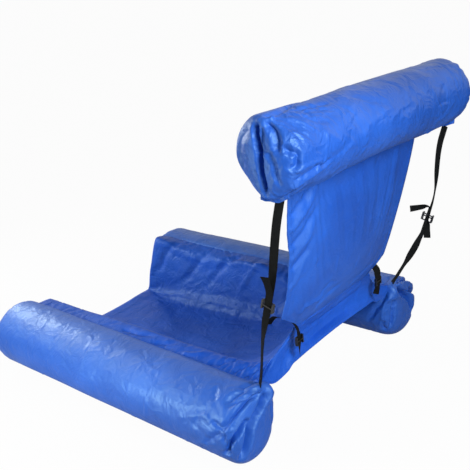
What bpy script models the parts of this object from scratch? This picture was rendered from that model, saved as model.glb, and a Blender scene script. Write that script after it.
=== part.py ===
"""Inflatable pool chair: two arm tubes, a slung seat, a back panel and a head tube.

Each tube is a nylon cover over an air bladder with a valve and a plug in one end.
The seat is one cloth slung between the arm tubes. It rises to a crest at the rear,
where the back panel is sewn on, and falls behind the panel to its hem.
Metres, +Z up. -Y is the front, where the sitter's feet go, and +X is the sitter's left.
"""

import math

import bmesh
import bpy
from mathutils import Matrix, Vector
from mathutils.bvhtree import BVHTree

# Clearances between pieces that touch on the real chair
GAP = 0.0003
WEBBING_GAP = 0.0006

# Arm tubes
ARM_RADIUS = 0.100
ARM_LENGTH = 1.073
ARM_SPAN = 0.764
ARM_FLAT_DEPTH = 0.0005

# Head tube: its axis lies behind the seat's crest and high above the floor
HEAD_RADIUS = 0.0907
HEAD_LENGTH = 0.828
HEAD_BEHIND_CREST = 0.125
HEAD_HEIGHT = 0.824
HEAD_ROLL = math.radians(1.8)
HEAD_YAW = math.radians(-0.8)

# Covers: nylon sleeves whose ends are gathered round a hole for the valve
COVER_WALL = 0.0015
COVER_END_WALL = 0.008
COVER_HOLE = 0.016
END_ROUNDING = 0.050
END_SQUARENESS = 3.2
GATHER_COUNT = 9
GATHER_DEPTH = 0.0060
GATHER_REACH = 0.030
STRAP_PEAK = 0.012
STRAP_PEAK_WIDTH = 0.028

# Bladders: film tubes, rounder at the ends than the covers
BLADDER_WALL = 0.0008
BLADDER_END_GAP = 0.0012
BLADDER_ROUNDING = 0.075
BLADDER_SQUARENESS = 2.4

# Valves: a flange on the bladder, a neck through the cover's hole and a pull-out plug
VALVE_FLANGE_RADIUS = 0.0125
VALVE_FLANGE_THICKNESS = 0.0012
VALVE_NECK_RADIUS = 0.0070
VALVE_BORE_RADIUS = 0.0040
VALVE_NECK_LENGTH = 0.0120
VALVE_TAIL_LENGTH = 0.0060
PLUG_CAP_RADIUS = 0.0085
PLUG_CAP_THICKNESS = 0.0024
PLUG_STEM_LENGTH = 0.0100

# Seat sling: one cloth, set out from the arm tubes' axes, tops and ends
CLOTH = 0.0020
SEAM_INSET = 0.052
SEAT_FRONT_INSET = 0.0365
SEAT_REAR_INSET = 0.0315
CREST_INSET = 0.0065
RIDGE_OVERHANG = 0.002
RIDGE_RISE = 0.0035
FLOOR_INSET = 0.090
FLOOR_CLEARANCE = 0.006
CREST_HEIGHT = 0.312
CREST_TUCK = 0.004
SEAM_ROW_INSET = 0.056
RIDGE_ROW_INSET = 0.0615
WALL_SAG = 0.006
# Each row: share of the way back to the crest, share of the way up to it, and how
# far the crease beside the floor stands over the floor's middle
SEAT_PROFILE = (
    (0.000, 0.000, 0.006),
    (0.243, 0.013, 0.008),
    (0.485, 0.046, 0.012),
    (0.680, 0.157, 0.014),
    (0.835, 0.386, 0.010),
    (0.927, 0.706, 0.004),
)
# Crest, valley and hem: behind and below the crest at the middle, wider than the
# crest, behind and below it at the side, then the ridge behind the wall's end and
# over the arm tube's top
REAR_FOLDS = (
    (0.000, 0.000, 0.000, 0.000, 0.000, -0.012, 0.0225),
    (-0.043, 0.072, 0.006, -0.018, 0.062, 0.000, 0.0045),
    (-0.012, 0.112, 0.014, -0.006, 0.112, 0.016, -0.0195),
)
# Dips in the walls' ridges: where along the chair, how deep and how long
RIDGE_DIPS = {
    "left": ((0.120, 0.010, 0.120),),
    "right": ((-0.248, 0.058, 0.075), (0.050, 0.050, 0.065)),
}

# Back panel: a cloth with long soft folds, sewn to the crest and to the head tube
PANEL_LIFT = 0.0026
PANEL_FOLDS = 4.5
PANEL_FOLD_DEPTH = 0.0060
PANEL_BELLY = 0.010
# Share of the way up to the head tube, and half width beyond the crest's
PANEL_OUTLINE = (
    (0.00, -0.003),
    (0.05, 0.003),
    (0.12, 0.047),
    (0.25, 0.043),
    (0.60, 0.060),
    (1.00, 0.106),
)
PANEL_CROWDING = 1.15
PANEL_FOLD_DRIFT = 1.2
PANEL_FOLD_SPREAD = 0.7
PANEL_SEAM_ANGLE = math.radians(16)

# Straps and slide buckles
STRAP_WIDTH = 0.020
STRAP_THICKNESS = 0.0015
ANCHOR_INSET = 0.042
ANCHOR_FROM_END = 0.019
HANG_FROM_END = 0.035
HANG_BEHIND = 0.010
BUCKLE_BOW = 0.0045
BUCKLE_SHARE = 0.505
BUCKLE_TRAVEL = 0.012
BUCKLE_BAR = 0.0032
BUCKLE_PLATE = 0.0022
BUCKLE_RAIL = 0.0040
BUCKLE_LENGTH = 0.024
BUCKLE_SLOT_SPARE = 0.0034
OVERLAP_BELOW = 0.060
OVERLAP_ABOVE = 0.045
LOWER_TAIL = 0.050
UPPER_TAIL = {"left": 0.030, "right": 0.066}
TAIL_LEAN = 0.018
TAIL_STRAIGHT = 0.006
SLACK = {"left": 0.0, "right": 0.036}
TAB_WIDTH = 0.050
TAB_DEPTH = 0.026
TAB_THICKNESS = 0.0040

# Corner straps: from the sling's wall over its rear corner, with a tail behind
CORNER_STRAP_OFFSET = 0.016
CORNER_STRAP_RISE = 0.010
CORNER_STRAP_REACH = 0.060
CORNER_STRAP_LIFT = 0.0011
CORNER_STRAP_BACK = 0.018
CORNER_TAIL = 0.086
CORNER_BUCKLE_DROP = 0.046
# Behind and below the strap's own highest point
CORNER_ROUTE = ((-0.030, 0.004), (0.002, 0.000), (0.016, 0.014), (0.018, 0.045))

# How finely the round and soft forms are cut
COVER_SIDES = 36
BLADDER_SIDES = 18
CAP_RINGS = 6
LINING_RINGS = 4
STRAIGHT_RINGS = 9
VALVE_SIDES = 16
SLING_STEPS = 24
SLING_COLUMNS = 20
PANEL_ROWS = 12
PANEL_COLUMNS = 32
STRAP_END_STEPS = 4
LOWER_STRAP_STEPS = 22
UPPER_STRAP_STEPS = 18
CORNER_STRAP_STEPS = 20
TAB_STEPS = 6

# Places that several pieces share
CREST_BEHIND = ARM_LENGTH / 2 - CREST_INSET
RIDGE_HALF = ARM_SPAN / 2 - ARM_RADIUS - RIDGE_OVERHANG
FLOOR_HALF = RIDGE_HALF - FLOOR_INSET
CREST_HALF = FLOOR_HALF - CREST_TUCK
ANCHOR_HALF_SPAN = ARM_SPAN / 2 - ANCHOR_INSET
HANG_HALF_SPAN = HEAD_LENGTH / 2 - HANG_FROM_END

SIDES = ("left", "right")

COLOURS = {
    "blue_nylon": ((0.035, 0.105, 0.55), 0.45),
    "blue_nylon_dark": ((0.030, 0.085, 0.47), 0.45),
    "clear_film": ((0.55, 0.62, 0.68), 0.25),
    "black_webbing": ((0.012, 0.012, 0.013), 0.70),
    "black_plastic": ((0.015, 0.015, 0.016), 0.35),
    "white_plastic": ((0.80, 0.80, 0.78), 0.35),
}


def clear_scene():
    """Remove whatever objects the file holds."""
    for obj in list(bpy.data.objects):
        bpy.data.objects.remove(obj, do_unlink=True)


def add_material(obj, kind):
    """Give an object its own material in one of the chair's colours."""
    colour, roughness = COLOURS[kind]
    material = bpy.data.materials.new(obj.name + "_" + kind)
    material.use_nodes = True
    shader = material.node_tree.nodes["Principled BSDF"]
    shader.inputs["Base Color"].default_value = (*colour, 1.0)
    shader.inputs["Roughness"].default_value = roughness
    shader.inputs["Metallic"].default_value = 0.0
    obj.data.materials.append(material)


def add_object(name, mesh_builder, kind, parent, smooth=True):
    """Make one named object from a finished bmesh, under its parent empty."""
    mesh = bpy.data.meshes.new(name)
    mesh_builder.to_mesh(mesh)
    mesh_builder.free()
    obj = bpy.data.objects.new(name, mesh)
    bpy.context.collection.objects.link(obj)
    if smooth:
        mesh.shade_smooth()
        mesh.set_sharp_from_angle(angle=math.radians(38))
    add_material(obj, kind)
    attach(obj, parent)
    return obj


def attach(obj, parent):
    """Parent an object whose mesh is drawn in the chair's frame to an empty."""
    offset = parent.matrix_world.inverted()
    obj.data.transform(offset)
    obj.parent = parent


def add_empty(name, location, parent):
    """Mark a joint or a body by an empty at a place in the chair's frame."""
    empty = bpy.data.objects.new(name, None)
    empty.empty_display_size = 0.03
    bpy.context.collection.objects.link(empty)
    if parent is not None:
        empty.parent = parent
        empty.location = Vector(location) - parent.matrix_world.translation
    else:
        empty.location = location
    bpy.context.view_layer.update()
    return empty


def monotone_slopes(xs, ys):
    """Slopes of a cubic through the points that never overshoots them."""
    steps = [(ys[i + 1] - ys[i]) / (xs[i + 1] - xs[i]) for i in range(len(xs) - 1)]
    slopes = [steps[0]]
    for before, after in zip(steps, steps[1:]):
        product = before * after
        slopes.append(2 * product / (before + after) if product > 0 else 0.0)
    slopes.append(steps[-1])
    return slopes


def monotone(xs, ys, x):
    """Value at x of the monotone cubic through the points."""
    slopes = monotone_slopes(xs, ys)
    i = 0
    while i < len(xs) - 2 and x > xs[i + 1]:
        i += 1
    width = xs[i + 1] - xs[i]
    t = min(1.0, max(0.0, (x - xs[i]) / width))
    a = (2 * t**3 - 3 * t**2 + 1) * ys[i] + (3 * t**2 - 2 * t**3) * ys[i + 1]
    b = (t**3 - 2 * t**2 + t) * slopes[i] + (t**3 - t**2) * slopes[i + 1]
    return a + b * width


def smooth_through(points, t):
    """Point at t, from 0 to 1, on a monotone curve through points in space."""
    xs = [i / (len(points) - 1) for i in range(len(points))]
    return Vector([monotone(xs, [p[k] for p in points], t) for k in range(3)])


def ease(t):
    """Smooth step from 0 to 1."""
    t = min(1.0, max(0.0, t))
    return t * t * (3 - 2 * t)


def sign_of(side):
    """+1 on the sitter's left and -1 on the right."""
    return 1.0 if side == "left" else -1.0


def head_frame():
    """The head tube's centre and lean."""
    place = Matrix.Translation((0.0, CREST_BEHIND + HEAD_BEHIND_CREST, HEAD_HEIGHT))
    return place @ Matrix.Rotation(HEAD_YAW, 4, "Z") @ Matrix.Rotation(-HEAD_ROLL, 4, "Y")


def arm_frame(side):
    """An arm tube's centre, with the tube's own X along the chair's -Y at its valve end."""
    height = ARM_RADIUS * math.cos(math.pi / COVER_SIDES) - ARM_FLAT_DEPTH
    place = Matrix.Translation((sign_of(side) * ARM_SPAN / 2, 0.0, height))
    return place @ Matrix.Rotation(math.radians(-90), 4, "Z")


def tube_stations(length, radius, rounding, squareness, hole, cap_rings):
    """Places along a tube and its radius there, from the hole to the far pole's last ring."""
    start = math.asin((hole / radius) ** (squareness / 2))
    cap = []
    for i in range(cap_rings + 1):
        a = start + (math.pi / 2 - start) * i / cap_rings
        depth = rounding * (1 - max(0.0, math.cos(a)) ** (2 / squareness))
        cap.append((depth, radius * math.sin(a) ** (2 / squareness)))
    near = [(length / 2 - depth, r) for depth, r in cap]
    far = [(-s, r) for s, r in reversed(near)]
    pitch = (length - 2 * rounding) / STRAIGHT_RINGS
    middle = [(near[-1][0] - pitch * i, radius) for i in range(1, STRAIGHT_RINGS)]
    return near + middle + far


def add_rings(builder, stations, sides, place, relief=None):
    """Rings of vertices round a tube, one for each station."""
    rings = []
    for s, r in stations:
        ring = []
        for k in range(sides):
            a = 2 * math.pi * (k + 0.5) / sides
            full = r + (relief(s, r, a) if relief else 0.0)
            ring.append(builder.verts.new(place(s, full, a)))
        rings.append(ring)
    return rings


def bridge_rings(builder, rings):
    """Quads between rings that follow each other."""
    for one, two in zip(rings, rings[1:]):
        for k in range(len(one)):
            n = (k + 1) % len(one)
            builder.faces.new((one[k], one[n], two[n], two[k]))


def close_pole(builder, ring, point):
    """A fan from a tube's last ring to its pole."""
    pole = builder.verts.new(point)
    for k in range(len(ring)):
        builder.faces.new((ring[k], ring[(k + 1) % len(ring)], pole))


def tube_place(frame, flat_floor):
    """A function that puts a tube's ring points in the chair's frame."""

    def place(s, r, a):
        point = frame @ Vector((s, r * math.sin(a), -r * math.cos(a)))
        if flat_floor:
            point.z = max(point.z, 0.0)
        return point

    return place


def shell(frame, outer, inner, sides, flat_floor=False, relief=None):
    """A closed tube wall with one round hole at its +X end."""
    builder = bmesh.new()
    place = tube_place(frame, flat_floor)
    outside = add_rings(builder, outer, sides, place, relief)
    inside = add_rings(builder, inner, sides, tube_place(frame, False))
    bridge_rings(builder, outside)
    bridge_rings(builder, inside)
    bridge_rings(builder, [outside[0], inside[0]])
    close_pole(builder, outside[-1], frame @ Vector((outer[-1][0], 0.0, 0.0)))
    close_pole(builder, inside[-1], frame @ Vector((inner[-1][0], 0.0, 0.0)))
    bmesh.ops.recalc_face_normals(builder, faces=builder.faces)
    return builder


def gathers(length, peak=None):
    """Relief of a cover: gathers at both ends and the peak that a strap pulls up."""

    def relief(s, r, a):
        from_end = length / 2 - abs(s)
        fold = 0.5 - 0.5 * math.cos(GATHER_COUNT * a + (2.0 if s > 0 else 0.6))
        reach = math.exp(-((from_end / GATHER_REACH) ** 2)) * min(1.0, r / ARM_RADIUS)
        floor_side = ease(1.0 - math.cos(a))
        offset = -GATHER_DEPTH * fold * reach * floor_side
        if peak is not None:
            along = (s - peak[0]) / STRAP_PEAK_WIDTH
            turn = math.remainder(a - peak[1], 2 * math.pi)
            around = turn * ARM_RADIUS / STRAP_PEAK_WIDTH
            offset += STRAP_PEAK * math.exp(-(along * along) - around * around)
        return offset

    return relief


def anchor_turn(side):
    """Where round the arm cover the side strap's anchor lies, from the tube's underside."""
    return math.pi + math.asin(ANCHOR_INSET / ARM_RADIUS) * sign_of(side)


def cover_stations(length, radius):
    """Outer and inner profiles of a cover."""
    outer = tube_stations(length, radius, END_ROUNDING, END_SQUARENESS, COVER_HOLE, CAP_RINGS)
    inner = tube_stations(
        length - 2 * COVER_END_WALL,
        radius - COVER_WALL,
        BLADDER_ROUNDING,
        BLADDER_SQUARENESS,
        COVER_HOLE,
        LINING_RINGS,
    )
    return outer, inner


def bladder_length(length):
    """Length of the bladder inside a cover."""
    return length - 2 * (COVER_END_WALL + BLADDER_END_GAP)


def bladder_stations(length, radius):
    """Outer and inner profiles of a bladder that fills its cover."""
    fit = math.cos(math.pi / COVER_SIDES)
    outer_radius = (radius - COVER_WALL) * fit - GAP
    long = bladder_length(length)
    hole = VALVE_NECK_RADIUS + GAP
    outer = tube_stations(
        long, outer_radius, BLADDER_ROUNDING, BLADDER_SQUARENESS, hole, LINING_RINGS
    )
    inner = tube_stations(
        long - 2 * BLADDER_WALL,
        outer_radius - BLADDER_WALL,
        BLADDER_ROUNDING,
        BLADDER_SQUARENESS,
        hole,
        LINING_RINGS,
    )
    return outer, inner


def turned(frame, profile):
    """A solid of revolution about the frame's X from an open profile of (x, radius)."""
    builder = bmesh.new()
    place = tube_place(frame, False)
    rings = add_rings(builder, [p for p in profile if p[1] > 0], VALVE_SIDES, place)
    bridge_rings(builder, rings)
    if profile[0][1] == 0:
        close_pole(builder, rings[0], frame @ Vector((profile[0][0], 0.0, 0.0)))
    if profile[-1][1] == 0:
        close_pole(builder, rings[-1], frame @ Vector((profile[-1][0], 0.0, 0.0)))
    if profile[0][1] > 0:
        bridge_rings(builder, [rings[-1], rings[0]])
    bmesh.ops.recalc_face_normals(builder, faces=builder.faces)
    return builder


def add_valve(name, frame, length, parent):
    """A valve body welded to the bladder's end, and the plug that pulls out of it."""
    end = bladder_length(length) / 2
    flange_in = end + GAP
    flange_out = flange_in + VALVE_FLANGE_THICKNESS
    tip = flange_out + VALVE_NECK_LENGTH
    tail = end - VALVE_TAIL_LENGTH
    body = (
        (tail, VALVE_BORE_RADIUS),
        (tail, VALVE_NECK_RADIUS),
        (flange_in, VALVE_NECK_RADIUS),
        (flange_in, VALVE_FLANGE_RADIUS),
        (flange_out, VALVE_FLANGE_RADIUS),
        (flange_out, VALVE_NECK_RADIUS),
        (tip, VALVE_NECK_RADIUS),
        (tip, VALVE_BORE_RADIUS),
    )
    add_object(name + "_valve", turned(frame, body), "white_plastic", parent)
    stem = VALVE_BORE_RADIUS - GAP
    cap_in = tip + GAP
    cap_out = cap_in + PLUG_CAP_THICKNESS
    plug = (
        (cap_in - PLUG_STEM_LENGTH, 0.0),
        (cap_in - PLUG_STEM_LENGTH, stem * 0.8),
        (cap_in - PLUG_STEM_LENGTH * 0.85, stem),
        (cap_in, stem),
        (cap_in, PLUG_CAP_RADIUS),
        (cap_out - PLUG_CAP_THICKNESS * 0.3, PLUG_CAP_RADIUS),
        (cap_out, PLUG_CAP_RADIUS * 0.9),
        (cap_out, 0.0),
    )
    pull = add_empty(name + "_plug_pull", frame @ Vector((tip, 0.0, 0.0)), parent)
    add_object(name + "_plug", turned(frame, plug), "white_plastic", pull)


def add_tube(name, frame, length, radius, parent, flat_floor, peak):
    """Cover, bladder, valve and plug of one inflated tube; gives the cover's surface."""
    outer, inner = cover_stations(length, radius)
    cover = shell(frame, outer, inner, COVER_SIDES, flat_floor, gathers(length, peak))
    surface = BVHTree.FromBMesh(cover)
    add_object(name + "_cover", cover, "blue_nylon", parent)
    outer, inner = bladder_stations(length, radius)
    add_object(name + "_bladder", shell(frame, outer, inner, BLADDER_SIDES), "clear_film", parent)
    add_valve(name, frame, length, parent)
    return surface


def peak_lift(across, y):
    """How far the strap's pull lifts an arm cover at a place on its upper side."""
    along = (y - (ARM_LENGTH / 2 - ANCHOR_FROM_END)) / STRAP_PEAK_WIDTH
    around = (across - ANCHOR_INSET) / STRAP_PEAK_WIDTH
    return STRAP_PEAK * math.exp(-(along * along) - around * around)


def arm_top(half_span, y):
    """Height of an arm cover's upper side at a distance from the chair's middle."""
    height = ARM_RADIUS - ARM_FLAT_DEPTH
    across = ARM_SPAN / 2 - half_span
    radius = ARM_RADIUS + peak_lift(across, y)
    return height + math.sqrt(radius**2 - across**2)


def ridge_height(side, y):
    """Height of the fold along a seat wall's top, with its dips."""
    level = 2 * ARM_RADIUS - ARM_FLAT_DEPTH + RIDGE_RISE
    return level - sum(d * math.exp(-(((y - at) / w) ** 2)) for at, d, w in RIDGE_DIPS[side])


def seam_place(y):
    """A place on the seam along the left arm tube's upper side."""
    seam = ARM_SPAN / 2 - SEAM_INSET
    return (seam, y, arm_top(seam, y) + GAP + CLOTH)


def sling_stations():
    """The seat's lengthwise stations: floor, crease, ridge and seam places at each."""
    front = SEAT_FRONT_INSET - ARM_LENGTH / 2
    rear = ARM_LENGTH / 2 - SEAT_REAR_INSET
    stations = []
    for back, up, crease in SEAT_PROFILE:
        y = front + (CREST_BEHIND - front) * back
        floor = FLOOR_CLEARANCE + (CREST_HEIGHT - FLOOR_CLEARANCE) * up
        stations.append(
            {
                "floor": (y, floor),
                "crease": (FLOOR_HALF, y, floor + crease),
                "ridge": (RIDGE_HALF, min(y, ARM_LENGTH / 2 - RIDGE_ROW_INSET), None),
                "seam": seam_place(min(y, ARM_LENGTH / 2 - SEAM_ROW_INSET)),
            }
        )
    for back, drop, wider, side_back, side_drop, ridge_back, ridge_rise in REAR_FOLDS:
        ridge_top = 2 * ARM_RADIUS - ARM_FLAT_DEPTH + ridge_rise
        side_y, side_z = CREST_BEHIND + side_back, CREST_HEIGHT - side_drop
        stations.append(
            {
                "floor": (CREST_BEHIND + back, CREST_HEIGHT - drop),
                "crease": (CREST_HALF + wider, side_y, side_z),
                "ridge": (RIDGE_HALF, rear + ridge_back, ridge_top),
                "seam": seam_place(rear + ridge_back / 2),
            }
        )
    return stations


def sling_section(station):
    """Points across the seat at one station, from the left seam to the right."""
    half = []
    for side in SIDES:
        sign = sign_of(side)
        seam_x, seam_y, seam_z = station["seam"]
        ridge_x, ridge_y, ridge_z = station["ridge"]
        if ridge_z is None:
            ridge_z = ridge_height(side, ridge_y)
        crease_x, crease_y, crease_z = station["crease"]
        floor_y, floor_z = station["floor"]
        seam = Vector((sign * seam_x, seam_y, seam_z))
        ridge = Vector((sign * ridge_x, ridge_y, ridge_z))
        crease = Vector((sign * crease_x, crease_y, crease_z))
        middle = Vector((0.0, floor_y, floor_z))
        inner = middle.lerp(crease, 0.5) + Vector((crease.x, 0.0, 0.0)) / 8
        wall = ridge.lerp(crease, 0.55) + Vector((-sign, 0.0, -0.7)) * WALL_SAG
        half.append([seam, ridge, wall, crease, inner])
    return half[0] + [middle] + half[1][::-1]


def sling_grid():
    """Points of the seat cloth's middle surface, row by row from the front."""
    stations = sling_stations()
    sections = [sling_section(s) for s in stations]
    rows = []
    for i in range(SLING_STEPS + 1):
        t = i / SLING_STEPS
        controls = [
            smooth_through([section[k] for section in sections], t)
            for k in range(len(sections[0]))
        ]
        row = [smooth_through(controls, j / SLING_COLUMNS) for j in range(SLING_COLUMNS + 1)]
        rows.append(row)
    return rows


def grid_normals(rows):
    """Unit normals of a grid of points, from its neighbours' differences."""
    normals = []
    last_row, last_column = len(rows) - 1, len(rows[0]) - 1
    for i in range(len(rows)):
        line = []
        for j in range(len(rows[0])):
            down = rows[min(i + 1, last_row)][j] - rows[max(i - 1, 0)][j]
            across = rows[i][min(j + 1, last_column)] - rows[i][max(j - 1, 0)]
            line.append(down.cross(across).normalized())
        normals.append(line)
    return normals


def sheet(rows, thickness):
    """A closed cloth of one thickness on both sides of a grid of points."""
    builder = bmesh.new()
    normals = grid_normals(rows)
    faces = []
    for offset in (thickness / 2, -thickness / 2):
        faces.append(
            [
                [builder.verts.new(p + n * offset) for p, n in zip(row, line)]
                for row, line in zip(rows, normals)
            ]
        )
    top, bottom = faces
    for i in range(len(rows) - 1):
        for j in range(len(rows[0]) - 1):
            for face in (top, bottom):
                builder.faces.new((face[i][j], face[i][j + 1], face[i + 1][j + 1], face[i + 1][j]))
    for i in range(len(rows) - 1):
        for j in (0, -1):
            builder.faces.new((top[i][j], top[i + 1][j], bottom[i + 1][j], bottom[i][j]))
    for j in range(len(rows[0]) - 1):
        for i in (0, -1):
            builder.faces.new((top[i][j], top[i][j + 1], bottom[i][j + 1], bottom[i][j]))
    bmesh.ops.recalc_face_normals(builder, faces=builder.faces)
    return builder


def panel_grid():
    """Points of the back panel's middle surface, from the crest up to the head tube."""
    frame = head_frame()
    reach = HEAD_RADIUS + GAP
    seam = (-reach * math.sin(PANEL_SEAM_ANGLE), -reach * math.cos(PANEL_SEAM_ANGLE))
    shares = [h for h, w in PANEL_OUTLINE]
    halves = [CREST_HALF + w for h, w in PANEL_OUTLINE]
    rows = []
    for i in range(PANEL_ROWS + 1):
        t = (i / PANEL_ROWS) ** PANEL_CROWDING
        half = monotone(shares, halves, t)
        row = []
        for j in range(PANEL_COLUMNS + 1):
            u = 2 * j / PANEL_COLUMNS - 1
            x = u * half
            low = Vector((x, CREST_BEHIND, CREST_HEIGHT + PANEL_LIFT))
            high = frame @ Vector((x, *seam))
            point = low.lerp(high, t)
            slope = math.sin(math.pi * t)
            wave = math.sin(math.pi * PANEL_FOLDS * u + PANEL_FOLD_DRIFT * t)
            point.y += PANEL_BELLY * slope + PANEL_FOLD_DEPTH * wave * slope**PANEL_FOLD_SPREAD
            row.append(point)
        rows.append(row)
    return rows


def round_seat(surface, centre, radius, toward):
    """Move a round end's centre along a direction until it rests just off a surface."""
    seated = centre.copy()
    for _ in range(12):
        nearest = surface.find_nearest(seated)[0]
        seated += toward * ((seated - nearest).length - radius - GAP)
    return seated


def anchor_point(side, cover):
    """Centre of a side strap's lower end, where it turns on the arm cover."""
    behind = ARM_LENGTH / 2 - ANCHOR_FROM_END
    height = arm_top(ANCHOR_HALF_SPAN, behind) + STRAP_WIDTH
    above = Vector((sign_of(side) * ANCHOR_HALF_SPAN, behind, height))
    return round_seat(cover, above, STRAP_WIDTH / 2, Vector((0.0, 0.0, -1.0)))


def hang_point(side):
    """Centre of a side strap's upper end, below the head tube's tab."""
    drop = HEAD_RADIUS + TAB_DEPTH + GAP * 2 + STRAP_WIDTH / 2
    return head_frame() @ Vector((sign_of(side) * HANG_HALF_SPAN, HANG_BEHIND, -drop))


class StrapLine:
    """The route of one side strap from its anchor to the head tube."""

    def __init__(self, side, cover):
        self.side = side
        self.start = anchor_point(side, cover)
        self.end = hang_point(side)
        flat = Vector((0.0, self.end.y - self.start.y, self.end.z - self.start.z))
        self.length = flat.length
        self.along = flat.normalized()
        self.across = Vector((0.0, self.along.z, -self.along.y))
        self.buckle = self.length * BUCKLE_SHARE
        self.buckle_x = sign_of(side) * ((ANCHOR_HALF_SPAN + HANG_HALF_SPAN) / 2 + BUCKLE_BOW)

    def point(self, s):
        """Middle of the webbing at a distance along the line."""
        below = self.buckle - OVERLAP_BELOW
        above = self.buckle + OVERLAP_ABOVE
        if s < below:
            share = ease(s / below)
            x = self.start.x + (self.buckle_x - self.start.x) * share
        elif s > above:
            share = ease((self.length - s) / (self.length - above))
            x = self.end.x + (self.buckle_x - self.end.x) * share
        else:
            share = 1.0
            x = self.buckle_x
        middle = self.start + self.along * s + self.across * (SLACK[self.side] * share)
        return Vector((x, middle.y, middle.z))


def strap(line, first, last, layer, bend, steps):
    """Webbing along a strap line, flat to the chair's side, rounded where it starts."""
    half = STRAP_WIDTH / 2
    sign = 1.0 if last > first else -1.0
    stops = []
    for i in range(STRAP_END_STEPS):
        a = math.pi / 2 * (i + 0.7) / STRAP_END_STEPS
        stops.append((first - sign * half * math.cos(a), half * math.sin(a)))
    for i in range(steps + 1):
        stops.append((first + (last - first) * i / steps, half))
    builder = bmesh.new()
    rings = []
    for s, width in stops:
        middle = line.point(s)
        ahead, behind = line.point(s + 0.001), line.point(s - 0.001)
        run = Vector((0.0, ahead.y - behind.y, ahead.z - behind.z)).normalized()
        wide = Vector((0.0, run.z, -run.y)) * width
        out = layer + (bend(s) if bend else 0.0)
        ring = []
        for side_sign, thick in ((-1, -1), (1, -1), (1, 1), (-1, 1)):
            shift = Vector((out + thick * STRAP_THICKNESS / 2, 0.0, 0.0))
            ring.append(builder.verts.new(middle + wide * side_sign + shift))
        rings.append(ring)
    bridge_rings(builder, rings)
    builder.faces.new(rings[0])
    builder.faces.new(rings[-1])
    bmesh.ops.recalc_face_normals(builder, faces=builder.faces)
    return builder


def buckle_outline(frame, half_width, stack, middle_out):
    """A slide buckle: two rails, two end bars behind the webbing and one bar before it."""
    builder = bmesh.new()
    half_length = BUCKLE_LENGTH / 2
    rail_in = half_width
    rail_out = half_width + BUCKLE_RAIL
    back = -stack / 2 - WEBBING_GAP
    front = stack / 2 + WEBBING_GAP
    low, high = back - BUCKLE_PLATE, front + BUCKLE_PLATE
    bar = BUCKLE_BAR
    ys = (-rail_out, -rail_in, rail_in, rail_out)
    zs = (-half_length, -half_length + bar, -bar / 2, bar / 2, half_length - bar, half_length)
    rows = []
    for x in (low, back, front, high):
        rows.append([[frame @ Vector((x * middle_out, y, z)) for z in zs] for y in ys])
    verts = {}

    def vert(i, j, k):
        if (i, j, k) not in verts:
            verts[(i, j, k)] = builder.verts.new(rows[i][j][k])
        return verts[(i, j, k)]

    def filled(i, j, k):
        if not (0 <= i < 3 and 0 <= j < 3 and 0 <= k < 5):
            return False
        if j != 1:
            return True
        if i == 0:
            return k in (0, 4)
        if i == 2:
            return k == 2
        return False

    for i in range(3):
        for j in range(3):
            for k in range(5):
                if not filled(i, j, k):
                    continue
                walls = (
                    ((-1, 0, 0), ((0, 0, 0), (0, 0, 1), (0, 1, 1), (0, 1, 0))),
                    ((1, 0, 0), ((1, 0, 0), (1, 1, 0), (1, 1, 1), (1, 0, 1))),
                    ((0, -1, 0), ((0, 0, 0), (1, 0, 0), (1, 0, 1), (0, 0, 1))),
                    ((0, 1, 0), ((0, 1, 0), (0, 1, 1), (1, 1, 1), (1, 1, 0))),
                    ((0, 0, -1), ((0, 0, 0), (0, 1, 0), (1, 1, 0), (1, 0, 0))),
                    ((0, 0, 1), ((0, 0, 1), (1, 0, 1), (1, 1, 1), (0, 1, 1))),
                )
                for (a, b, c), corners in walls:
                    if not filled(i + a, j + b, k + c):
                        builder.faces.new([vert(i + p, j + q, k + r) for p, q, r in corners])
    bmesh.ops.recalc_face_normals(builder, faces=builder.faces)
    return builder


def add_side_straps(side, cover, base, backrest):
    """Lower strap, upper strap and slide buckle of one side, and their joints."""
    line = StrapLine(side, cover)
    sign = sign_of(side)
    layer = (STRAP_THICKNESS + WEBBING_GAP) / 2
    outer = sign if side == "left" else -sign
    top = line.buckle + OVERLAP_ABOVE
    bend_from = line.buckle + BUCKLE_LENGTH / 2 + BUCKLE_TRAVEL + TAIL_STRAIGHT
    lower_pivot = add_empty(side + "_strap_swing", line.start, base)
    upper_pivot = add_empty(side + "_strap_hang", line.end, backrest)

    def tail_bend(s):
        return outer * TAIL_LEAN * ease((s - bend_from) / LOWER_TAIL) ** 1.5

    lower = strap(line, 0.0, top + LOWER_TAIL, outer * layer, tail_bend, LOWER_STRAP_STEPS)
    add_object(side + "_lower_strap", lower, "black_webbing", lower_pivot, smooth=False)
    bottom = line.buckle - UPPER_TAIL[side]
    upper = strap(line, line.length, bottom, -outer * layer, None, UPPER_STRAP_STEPS)
    add_object(side + "_upper_strap", upper, "black_webbing", upper_pivot, smooth=False)
    middle = line.point(line.buckle)
    turn = Matrix((Vector((1, 0, 0)), line.across, line.along)).transposed().to_4x4()
    slide = add_empty(side + "_buckle_slide", middle, lower_pivot)
    stack = 2 * STRAP_THICKNESS + WEBBING_GAP
    half = STRAP_WIDTH / 2 + BUCKLE_SLOT_SPARE
    frame = Matrix.Translation(middle) @ turn
    buckle = buckle_outline(frame, half, stack, sign)
    add_object(side + "_side_buckle", buckle, "black_plastic", slide, smooth=False)


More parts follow.
